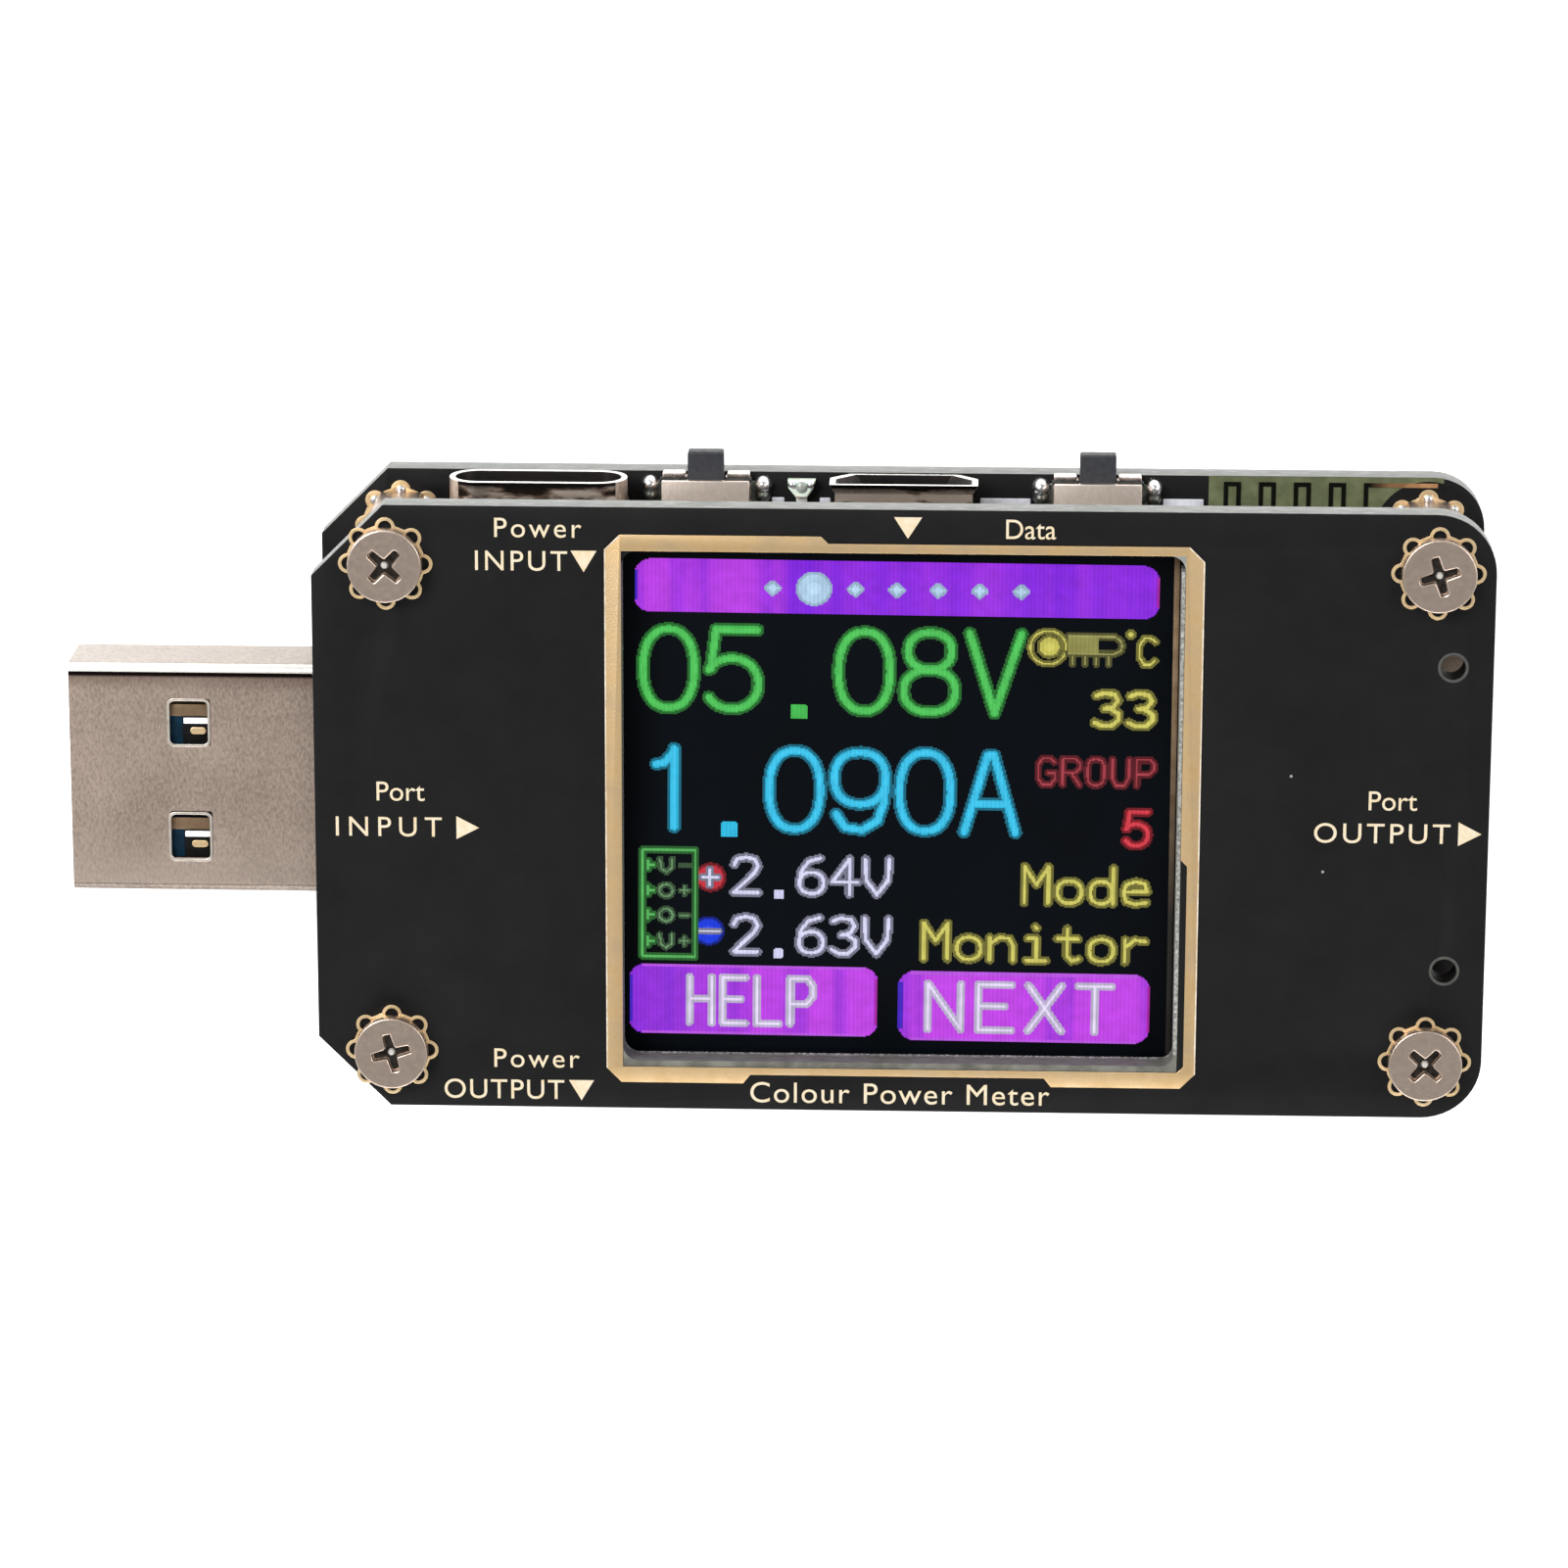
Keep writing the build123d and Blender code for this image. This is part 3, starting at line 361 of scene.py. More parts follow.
FINISH = {
    "board_black": board_mask(),
    "gold_plating": gold("gold_plate", (0.68, 0.49, 0.26), (0.90, 0.69, 0.42)),
    "printed_copper": printed_trace(),
    "nickel_hardware": plain("turned_nickel", (0.44, 0.35, 0.29), (0.53, 0.43, 0.36), 0.3, (0.3, 0.42),
                             metallic=1.0, relief=0.01),
    "display_face": screen_black(),
    "display_glass": glass(),
    "chip_plastic": plain("chip_epoxy", (0.016, 0.016, 0.017), (0.03, 0.03, 0.032), 0.3,
                          (0.55, 0.7), relief=0.015, relief_size=0.1),
    "light_guide": plain("light_guide_sheet", (0.62, 0.65, 0.66), (0.75, 0.78, 0.79), 1.5, (0.15, 0.25)),
    "tray_plastic": plain("tray_plastic", (0.42, 0.42, 0.41), (0.50, 0.50, 0.49), 1.0, (0.4, 0.55)),
    "flex_film": plain("flex_film", (0.25, 0.12, 0.02), (0.36, 0.19, 0.04), 1.0, (0.25, 0.4)),
    "foam_tape": plain("foam_tape", (0.008, 0.008, 0.008), (0.02, 0.02, 0.02), 0.2, (0.8, 0.95),
                       relief=0.05, relief_size=0.15),
    "connector_shell": sandy_nickel("pressed_nickel", (0.36, 0.285, 0.235), (0.58, 0.475, 0.40), turn=32),
    "blue_plastic": plain("blue_insulator", (0.002, 0.020, 0.060), (0.004, 0.034, 0.10), 0.6, (0.3, 0.42)),
    "black_plastic": plain("black_nylon", (0.012, 0.012, 0.013), (0.022, 0.022, 0.024), 0.4, (0.45, 0.6)),
    "resistor_ceramic": plain("black_glaze", (0.012, 0.012, 0.014), (0.03, 0.03, 0.034), 0.4, (0.25, 0.4)),
    "capacitor_ceramic": plain("tan_ceramic", (0.30, 0.20, 0.12), (0.42, 0.30, 0.19), 0.5, (0.4, 0.55)),
    "lamp_lens": milky_lens(),
    "solder": plain("bright_solder", (0.55, 0.55, 0.56), (0.78, 0.78, 0.79), 0.5, (0.16, 0.34),
                    metallic=1.0, relief=0.02, relief_size=0.3),
    "switch_steel": sandy_nickel("switch_sheet", (0.58, 0.49, 0.42), (0.74, 0.65, 0.58), (0.34, 0.46), 0.3),
    "plunger_plastic": plain("plunger_plastic", (0.017, 0.0175, 0.021), (0.028, 0.029, 0.034), 0.3,
                             (0.45, 0.6), relief=0.01, relief_size=0.15, specular=0.3),
}
LAMINATE = bare_laminate()
EDGE = laminate_edge()
TRIM_GOLD = gold("trim_gold", (0.56, 0.385, 0.19), (0.76, 0.56, 0.325))
LETTERING = plain("gold_lettering", (0.72, 0.58, 0.37), (0.95, 0.84, 0.64), 0.4, (0.32, 0.5), metallic=0.6,
                  relief=0.006, relief_size=0.1)
# A painted glint for the gold trim's outer edge.
GOLD_GLINT = plain("gold_edge", (0.60, 0.46, 0.30), (1.0, 0.93, 0.80), 0.5, (0.3, 0.45), metallic=0.5)
TINNED = plain("tinned_end", (0.50, 0.50, 0.50), (0.74, 0.74, 0.74), 0.3, (0.22, 0.4),
               metallic=1.0, relief=0.015, relief_size=0.15)
# Solder painted dark as a dark reflection, for the inner beads at the switches' feet and the switch legs.
SOLDER_DARK_REFLECTION = plain("dull_solder", (0.05, 0.055, 0.048), (0.20, 0.21, 0.19), 0.4, (0.3, 0.5), metallic=1.0)
# The switches' front tabs: nickel painted brighter than the cover's sheet, as a highlight.
ROSY_NICKEL_HIGHLIGHT = plain("rosy_nickel", (0.72, 0.58, 0.50), (0.92, 0.82, 0.76), 0.35, (0.25, 0.4), metallic=1.0)
COOL_TIN = plain("cool_tin", (0.62, 0.63, 0.70), (0.88, 0.88, 0.96), 0.4, (0.3, 0.5), metallic=0.7)
# The indicator lamps' resin with brown streaks, darkened as painted shade down in their holes.
SHADED_INDICATOR_RESIN = plain("indicator_resin", (0.012, 0.011, 0.010), (0.30, 0.21, 0.14), 0.45, (0.08, 0.2))
CLEAR_RESIN = plain("clear_resin", (0.20, 0.22, 0.20), (0.36, 0.38, 0.35), 0.4, (0.1, 0.2))
TAN_METAL = plain("tan_metal", (0.20, 0.13, 0.075), (0.34, 0.235, 0.15), 0.5, (0.35, 0.5), metallic=1.0)
# Painted shade: near-black metal on the floor of each screw's cross and in the chips' pin-1 dimples.
RECESS_SHADE_METAL = plain("recess_metal", (0.018, 0.015, 0.014), (0.07, 0.06, 0.052), 0.25, (0.35, 0.5),
                   metallic=1.0)
# Painted shade inside the connector shells.
SHADED_SHELL_INSIDE = plain("shell_inside", (0.010, 0.009, 0.009), (0.035, 0.028, 0.027), 0.5, (0.3, 0.5),
                     metallic=0.8, stretch=(0.35, 1, 1))
# Painted highlight: near-white metal for the lips of the shells, the plug's outer bend and the centre of each
# screw's cross.
LIP_HIGHLIGHT = plain("bright_lip", (0.78, 0.74, 0.68), (0.94, 0.91, 0.86), 0.4, (0.2, 0.34), metallic=0.75)
# Nickel for the plug's window rims, painted brighter than the sheet as a highlight.
NICKEL_RIM_HIGHLIGHT = plain("nickel_rim", (0.50, 0.45, 0.39), (0.80, 0.74, 0.66), 0.5, (0.24, 0.38), metallic=0.8)
NAVY = plain("deep_navy", (0.001, 0.008, 0.018), (0.002, 0.018, 0.036), 0.5, (0.4, 0.6), specular=0.1)
WHITE_SPRING = plain("white_spring", (0.80, 0.80, 0.80), (0.95, 0.95, 0.95), 0.4, (0.3, 0.45))
SHADE = plain("deep_shade", (0.002, 0.002, 0.002), (0.006, 0.006, 0.006), 0.4, (0.5, 0.7), specular=0.08)


def amber_film():
    """The amber film's edge, clear at the top and in shade lower down."""
    recipe = Recipe("amber_film")
    shade = recipe.remap(recipe.axis(recipe.place(), "y"), 1.0, 0.0, -6.0, 6.0)
    film = recipe.tones(recipe.noise(0.9), (0.11, 0.068, 0.035), (0.20, 0.135, 0.078))
    recipe.set(Base_Color=recipe.mix(shade, film, (0.012, 0.011, 0.009)), Roughness=0.45,
               Specular_IOR_Level=0.2)
    return recipe.material


AMBER = amber_film()


# ---- mesh helpers ------------------------------------------------------------------------------
def add_piece(name, work, materials, slot, body=METER_BODY, smooth_angle=SMOOTH_ANGLE):
    """Puts a shape drawn in millimetres into the scene, in metres, riding on its body."""
    mesh = bpy.data.meshes.new(name)
    work.normal_update()
    work.to_mesh(mesh)
    work.free()
    mesh.transform(Matrix.Scale(1.0 / METRE, 4))
    for item in materials:
        mesh.materials.append(item)
    piece = bpy.data.objects.new(name, mesh)
    bpy.context.scene.collection.objects.link(piece)
    mesh.shade_smooth()
    mesh.set_sharp_from_angle(angle=math.radians(smooth_angle))
    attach(piece, body)
    return piece


def stand_for(node, work, materials=None, body=METER_BODY, smooth_angle=SMOOTH_ANGLE):
    """Puts a finer shape in the place of a CAD node."""
    slot = SLOT_OF[node]
    piece = add_piece(node + "_fine", work, materials or [FINISH[slot]], slot, body, smooth_angle)
    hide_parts(node)


def cad_work(node):
    """A CAD node's mesh as an editable copy in millimetres, with its facets joined up."""
    work = bmesh.new()
    work.from_mesh(NODES[node].data)
    bmesh.ops.transform(work, matrix=Matrix.Scale(METRE, 4), verts=work.verts)
    bmesh.ops.remove_doubles(work, verts=work.verts, dist=0.0005)
    return work


def bevel(work, edges, width, steps):
    """Rounds edges a little, as real edges are."""
    bmesh.ops.bevel(work, geom=edges, offset=width, offset_type="OFFSET", segments=steps,
                    profile=0.6, affect="EDGES", clamp_overlap=True)


def refine(node, width, steps=2, materials=None, paint=None, body=METER_BODY):
    """Replaces a CAD node by the same shape with rounded edges. paint gives each face its material."""
    flat, sharp = math.radians(1.0), math.radians(28.0)
    work = cad_work(node)
    bmesh.ops.dissolve_limit(work, angle_limit=flat, verts=work.verts, edges=work.edges, delimit={"NORMAL"})
    corners = [edge for edge in work.edges if edge.is_manifold and edge.calc_face_angle(0.0) > sharp]
    bevel(work, corners, width, steps)
    if paint:
        for face in work.faces:
            face.material_index = paint(face)
    stand_for(node, work, materials, body)


def islands(node):
    """The boxes of the separate solids in a node, largest first: (low corner, high corner)."""
    work = cad_work(node)
    unseen = set(work.verts)
    boxes = []
    while unseen:
        stack = [unseen.pop()]
        low, high = stack[0].co.copy(), stack[0].co.copy()
        while stack:
            vertex = stack.pop()
            low = Vector(map(min, low, vertex.co))
            high = Vector(map(max, high, vertex.co))
            for edge in vertex.link_edges:
                other = edge.other_vert(vertex)
                if other in unseen:
                    unseen.remove(other)
                    stack.append(other)
        boxes.append((low, high))
    work.free()

    def rank(box):
        size = box[1] - box[0]
        return -round(size.x * size.y * size.z, 4), round(box[0].x, 3), round(box[0].y, 3)
    return sorted(boxes, key=rank)


def add_box(work, low, high, material=0, rounding=0.0, steps=2):
    """Adds a box with rounded edges to the mesh being made."""
    size, centre = Vector(high) - Vector(low), (Vector(high) + Vector(low)) / 2
    part = bmesh.new()
    bmesh.ops.create_cube(part, size=1.0, matrix=Matrix.Translation(centre) @ Matrix.Diagonal((*size, 1.0)))
    if rounding:
        bevel(part, part.edges[:], rounding, steps)
    merge(work, part, material)


def add_mesh(work, mesh, material=0):
    """Moves a finished mesh into the shape being made. With no material its faces keep their own."""
    before = len(work.faces)
    work.from_mesh(mesh)
    work.faces.ensure_lookup_table()
    if material is not None:
        for face in work.faces[before:]:
            face.material_index = material
    bpy.data.meshes.remove(mesh)


def merge(work, part, material=None):
    """Moves a finished part into the shape being made."""
    holder = bpy.data.meshes.new("holder")
    part.to_mesh(holder)
    part.free()
    add_mesh(work, holder, material)


def add_lathe(work, centre, profile, material=0, steps=40):
    """A solid of revolution: profile points are (radius, level) from bottom to top."""
    point = 1e-4                       # a smaller radius is the tip of the solid
    part = bmesh.new()
    angles = [2 * math.pi * step / steps for step in range(steps)]
    rings = [[part.verts.new((radius * math.cos(angle), radius * math.sin(angle), level)) for angle in angles]
             for radius, level in profile]
    for lower, upper in zip(rings, rings[1:]):
        for step in range(steps):
            after = (step + 1) % steps
            part.faces.new((lower[step], lower[after], upper[after], upper[step]))
    if profile[0][0] > point:
        part.faces.new(list(reversed(rings[0])))
    if profile[-1][0] > point:
        part.faces.new(rings[-1])
    bmesh.ops.remove_doubles(part, verts=part.verts, dist=point)
    bmesh.ops.translate(part, vec=centre, verts=part.verts)
    merge(work, part, material)


def show(data):
    """A curve or text as an object, so that Blender works out its shape."""
    holder = bpy.data.objects.new("holder", data)
    bpy.context.scene.collection.objects.link(holder)
    bpy.context.view_layer.update()
    return holder


def take_mesh(holder):
    """The mesh of a curve or text object, which is then removed."""
    data = holder.data
    mesh = bpy.data.meshes.new_from_object(holder.evaluated_get(bpy.context.evaluated_depsgraph_get()))
    bpy.data.objects.remove(holder)
    bpy.data.curves.remove(data)
    return mesh


def plate_mesh(outlines, low, high, rounding=0.0, resolution=3):
    """A flat plate between two levels. Later outlines cut holes; rounding softens the rims."""
    data = bpy.data.curves.new("outline", "CURVE")
    data.dimensions = "2D"
    data.fill_mode = "BOTH"
    for outline in outlines:
        spline = data.splines.new("POLY")
        spline.points.add(len(outline) - 1)
        for point, (x, y) in zip(spline.points, outline):
            point.co = (x, y, 0.0, 1.0)
        spline.use_cyclic_u = True
    data.extrude = (high - low) / 2 - rounding
    data.bevel_depth = rounding
    data.bevel_resolution = resolution
    data.offset = -rounding
    mesh = take_mesh(show(data))
    mesh.transform(Matrix.Translation((0, 0, (low + high) / 2)))
    return mesh


def circle(x, y, radius, steps=48):
    """Points round a circle."""
    angles = [2 * math.pi * step / steps for step in range(steps)]
    return [(x + radius * math.cos(angle), y + radius * math.sin(angle)) for angle in angles]


def arc(x, y, radius, start, stop, steps=8):
    """Points along part of a circle, angles in degrees."""
    angles = [math.radians(start + (stop - start) * step / steps) for step in range(steps + 1)]
    return [(x + radius * math.cos(angle), y + radius * math.sin(angle)) for angle in angles]


def rounded_rectangle(left, bottom, right, top, radius):
    """Points round a rectangle with round corners."""
    corners = ((right - radius, top - radius), (left + radius, top - radius),
               (left + radius, bottom + radius), (right - radius, bottom + radius))
    return [point for quarter, (x, y) in enumerate(corners)
            for point in arc(x, y, radius, 90 * quarter, 90 * quarter + 90, 6)]


def text_mesh(words, left, base, width, height):
    """Lettering on the panel that fills a box whose lower left corner is given.
    It is spaced out rather than stretched."""
    data = bpy.data.curves.new("words", "FONT")
    data.body = words
    data.size = 1.0
    data.resolution_u = 6
    holder = show(data)
    slack = 1.06
    for spacing in (1.0, 1.1, 1.2, 1.3, 1.4, 1.5, 1.6, 1.7):
        data.space_character = spacing
        bpy.context.view_layer.update()
        if holder.dimensions.x / holder.dimensions.y * slack > width / height:
            break
    mesh = take_mesh(holder)
    xs = [vertex.co.x for vertex in mesh.vertices]
    ys = [vertex.co.y for vertex in mesh.vertices]
    scale = Matrix.Diagonal((width / (max(xs) - min(xs)), height / (max(ys) - min(ys)), 1.0, 1.0))
    to_corner = Matrix.Translation((-min(xs), -min(ys), 0))
    mesh.transform(Matrix.Translation((left, base, Z_PANEL)) @ scale @ to_corner)
    work = bmesh.new()
    work.from_mesh(mesh)
    bmesh.ops.remove_doubles(work, verts=work.verts, dist=1e-5)
    lifted = bmesh.ops.extrude_face_region(work, geom=work.faces[:])
    moved = [item for item in lifted["geom"] if isinstance(item, bmesh.types.BMVert)]
    bmesh.ops.translate(work, vec=(0, 0, LETTER_THICK), verts=moved)
    bmesh.ops.recalc_face_normals(work, faces=work.faces[:])
    work.to_mesh(mesh)
    work.free()
    return mesh


# ---- the boards --------------------------------------------------------------------------------
def panel_paint(face):
    """1 on the window's walls, 2 in the indicator holes, whose walls are painted shade, 0 elsewhere."""
    near = 1.0
    spot = face.calc_center_median()
    if abs(face.normal.z) > 0.5:
        return 0
    if abs(spot.x - HOLE_X) < near and abs(abs(spot.y) - HOLE_Y) < near:
        return 2
    return 1 if WINDOW_X[0] - near < spot.x < WINDOW_X[1] + near and abs(spot.y) < WINDOW_Y[1] + near else 0


def window_wall():
    """The sawn wall of the window: grey-green laminate with pale broken fibres near its lower rim, painted
    there as glints.
    """
    recipe = Recipe("window_wall")
    height = recipe.axis(recipe.place(), "z")
    fibres = recipe.noise(0.12, 3.0, (0.8, 0.8, 1.6))
    layers = recipe.noise(0.3, 3.0, (0.3, 0.3, 2.0))
    plies = recipe.tones(layers, (0.055, 0.056, 0.045), (0.125, 0.124, 0.105), 0.35, 0.65)
    lower_rim_glint_band = recipe.remap(height, 1.0, 0.0, PANEL_LOW.z + 0.12, PANEL_LOW.z + 0.5)
    # Painted glints near the lower rim.
    fibre_glint = recipe.math("MULTIPLY", lower_rim_glint_band, recipe.remap(fibres, 0.0, 1.0, 0.5, 0.62))
    recipe.set(Base_Color=recipe.mix(fibre_glint, plies, (0.62, 0.61, 0.58)),
               Roughness=recipe.remap(fibres, 0.7, 0.5))
    recipe.bump(fibres, 0.02)
    return recipe.material


def hole_rims():
    """Grey rims round the two indicator holes, where the drill has broken the mask."""
    work = bmesh.new()
    for y in (-HOLE_Y, HOLE_Y):
        ring = [circle(HOLE_X, y, radius) for radius in (0.76, 0.62)]
        add_mesh(work, plate_mesh(ring, Z_PANEL, Z_PANEL + 0.02, 0.008))
    rim = plain("drilled_rim", (0.022, 0.024, 0.021), (0.055, 0.057, 0.050), 0.3, (0.4, 0.6))
    add_piece("indicator_hole_rims", work, [rim], "board_black")


def trim_glints():
    """A painted glint along the outer edge of the gold trim: its right side with a corner, and its left side
    with one.
    """
    low, high = node_box("window_trim")
    cut, step, width = 0.75, 0.36, 0.06
    slant = width * 1.4
    shoulder = high.y - step
    right_side = [(high.x - cut, shoulder), (high.x - cut, shoulder - slant),
                  (high.x - width, shoulder - cut),
                  (high.x - width, low.y + cut), (high.x, low.y + cut), (high.x, shoulder - cut)]
    left_side = [(low.x + cut, high.y), (low.x, high.y - cut), (low.x, low.y + cut),
                 (low.x + width, low.y + cut),
                 (low.x + width, high.y - cut), (low.x + cut, high.y - slant)]
    work = bmesh.new()
    for outline in (right_side, left_side):
        add_mesh(work, plate_mesh([outline], high.z - 0.01, high.z + 0.008))
    add_piece("trim_glints", work, [GOLD_GLINT], "gold_plating")


def window_corners():
    """The window's upper corners inside the gold's sharp corners: pale laminate at the right, painted shade
    at the left.
    """
    (left, right), top, radius = WINDOW_X, WINDOW_Y[1], WINDOW_RADIUS
    work = bmesh.new()
    pale = [(right, top)] + arc(right - radius, top - radius, radius, 90, 0)
    dark = [(left, top)] + arc(left + radius, top - radius, radius, 180, 90)
    for index, outline in enumerate((pale, dark)):
        add_mesh(work, plate_mesh([outline], Z_PANEL, Z_PANEL + 0.02), index)
    add_piece("window_corner_cuts", work, [EDGE, SHADE], "board_black")


def window_lining():
    """The sawn laminate that shows inside the gold along the window's lower side and its right side."""
    (left, right), (bottom, top) = WINDOW_X, WINDOW_Y
    inner_right, inner_bottom = right - RIM_RIGHT, bottom + RIM_BOTTOM
    round_right, round_left = 0.6, WINDOW_RADIUS
    corner = inner_bottom + round_right
    low_side = [(left, bottom), (right, bottom), (right, corner)]
    low_side += arc(inner_right - round_right, corner, round_right, 0, -90)
    low_side += arc(left + round_left, inner_bottom + round_left, round_left, -90, -180)
    right_side = [(inner_right, corner), (right, corner), (right, top - WINDOW_RADIUS),
                  (inner_right, top - WINDOW_RADIUS)]
    foot = PANEL_LOW.z + 0.05
    work = bmesh.new()
    add_mesh(work, plate_mesh([low_side], foot, Z_PANEL + 0.004, 0.03), 0)
    add_mesh(work, plate_mesh([right_side], foot, Z_PANEL + 0.006, 0.04), 1)
    # The right strip is laminate painted paler, with painted glints.
    pale = plain("glinting_laminate", (0.06, 0.062, 0.052), (0.36, 0.36, 0.33), 0.16, (0.3, 0.5))
    add_piece("window_lining", work, [window_wall(), pale], "board_black")


LABELS = [
    # words, left, base line, width, height
    ("Power", -13.7, 13.93, 4.3, 0.98),
    ("INPUT", -14.66, 12.25, 4.55, 1.0),
    ("Data", 11.5, 14.08, 2.45, 0.98),
    ("Port", -19.7, 0.42, 2.4, 0.98),
    ("INPUT", -21.76, -1.42, 5.3, 1.0),
    ("Port", 29.62, 0.47, 2.4, 0.98),
    ("OUTPUT", 26.95, -1.22, 6.75, 1.02),
    ("Power", -13.95, -13.42, 4.3, 0.98),
    ("OUTPUT", -16.48, -15.08, 6.05, 1.02),
    ("Colour Power Meter", -1.05, -15.12, 15.05, 1.08),
]
ARROWS = [
    # tip x, tip y, direction the arrow points, half width, length
    (-9.3, 12.21, "down", 0.64, 1.08),
    (6.68, 14.05, "down", 0.69, 1.08),
    (-14.6, -0.93, "right", 0.59, 1.13),
    (35.24, -0.7, "right", 0.61, 1.15),
    (-9.56, -15.12, "down", 0.63, 1.06),
]


def front_labels():
    """The panel's generic words and arrows."""
    work = bmesh.new()
    for words, left, base, width, height in LABELS:
        add_mesh(work, text_mesh(words, left, base, width, height))
    for x, y, direction, half, length in ARROWS:
        if direction == "down":
            outline = [(x, y), (x + half, y + length), (x - half, y + length)]
        else:
            outline = [(x, y), (x - length, y + half), (x - length, y - half)]
        add_mesh(work, plate_mesh([outline], Z_PANEL, Z_PANEL + LETTER_THICK))
    add_piece("front_labels", work, [LETTERING], "gold_plating")


def antenna_window():
    """Bare laminate round the printed antenna, and the disc of mask round the screw beside it."""
    left, right, bottom, top = 21.7, 33.5, 9.0, BOARD_HIGH.y - 0.02
    bare, disc_top, disc_radius = Z_BOARD + 0.012, Z_BOARD + 0.02, 2.75
    x, y = SCREW_CENTRES[1]
    work = bmesh.new()
    sheet = [(left, bottom), (right, bottom), (right, top), (left, top)]
    add_mesh(work, plate_mesh([sheet], Z_BOARD, bare), 0)
    add_mesh(work, plate_mesh([circle(x, y, disc_radius, 64)], bare, disc_top), 1)
    add_piece("antenna_window", work, [LAMINATE, FINISH["board_black"]], "board_black")


def paint_cad_nodes():
    """Every CAD node that is still shown gets its slot's finish."""
    for name, item in NODES.items():
        item.data.materials.clear()
        item.data.materials.append(FINISH[SLOT_OF[name]])


# ---- screws, posts and rings -------------------------------------------------------------------
def screw_boxes(node):
    """One box for each screw of a node, ordered left to right and then top to bottom."""
    return sorted(islands(node), key=lambda box: (-round(box[0].y), round(box[0].x)))


SCREW_CENTRES = [((low.x + high.x) / 2, (low.y + high.y) / 2) for low, high in screw_boxes("front_screws")]


def cross_outline(x, y, half, width, turn):
    """A cross with small rounded ends."""
    side = width / 2
    corner = side * 0.35
    arm = [(half, -side + corner), (half, side - corner), (half - corner, side), (side + corner, side),
           (side, side + corner)]
    points = []
    for quarter in range(4):
        angle = math.radians(turn + 90 * quarter)
        for px, py in arm:
            points.append((x + px * math.cos(angle) - py * math.sin(angle),
                           y + px * math.sin(angle) + py * math.cos(angle)))
    return points


def screw_mesh(turn):
    """A pan-head screw on z = 0: softened rims, a tapered cross with painted shade on its floor and a painted
    highlight at its centre, and a thread.
    """
    cross_depth, rim_round, foot_round = 0.36, 0.085, 0.03
    seat = SCREW_HEAD - cross_depth
    head = circle(0, 0, HEAD_RADIUS, 72)
    part = bmesh.new()
    upper = plate_mesh([head, cross_outline(0, 0, 0.98, 0.46, turn)], seat - 0.04, SCREW_HEAD, rim_round, 4)
    add_mesh(part, upper, 0)
    add_mesh(part, plate_mesh([head], 0.0, seat, foot_round), 0)
    # The floor of the cross is painted shade and a small cone at its centre a painted highlight.
    add_mesh(part, plate_mesh([cross_outline(0, 0, 0.9, 0.42, turn)], seat - 0.01, seat + 0.02), 1)
    add_lathe(part, (0, 0, seat + 0.01), [(0.2, 0.0), (0.13, 0.12), (0.0, 0.15)], 2, 24)
    profile = [(0.55, -SHANK_LENGTH), (SHANK_RADIUS - 0.1, 0.25 - SHANK_LENGTH)]
    level = 0.3 - SHANK_LENGTH
    while level < -0.3:
        profile += [(SHANK_RADIUS, level), (SHANK_RADIUS - 0.16, level + THREAD_PITCH / 2)]
        level += THREAD_PITCH
    add_lathe(part, (0, 0, 0), profile + [(SHANK_RADIUS - 0.1, 0.01)], 0, 32)
    return part


def screws(node, turns, facing):
    """All four screws of one side of the meter."""
    work = bmesh.new()
    for (low, high), turn in zip(screw_boxes(node), turns):
        part = screw_mesh(turn)
        x, y, _ = (low + high) / 2
        if facing > 0:
            place = Matrix.Translation((x, y, high.z - SCREW_HEAD))
        else:
            place = Matrix.Translation((x, y, low.z + SCREW_HEAD)) @ Matrix.Rotation(math.pi, 4, "X")
        bmesh.ops.transform(part, matrix=place, verts=part.verts)
        merge(work, part)
    stand_for(node, work, [FINISH["nickel_hardware"], RECESS_SHADE_METAL, LIP_HIGHLIGHT], smooth_angle=40)


# ---- the display -------------------------------------------------------------------------------
def loop(x, y, rx, ry, start=0.0, stop=360.0, power=2.3, steps=28):
    """Points round a slightly squared oval, angles clockwise from the right as seen on the screen."""
    points = []
    for step in range(steps + 1):
        angle = math.radians(start + (stop - start) * step / steps)
        c, d = math.cos(angle), math.sin(angle)
        points.append((x + rx * math.copysign(abs(c) ** (2 / power), c),
                       y + ry * math.copysign(abs(d) ** (2 / power), d)))
    return points


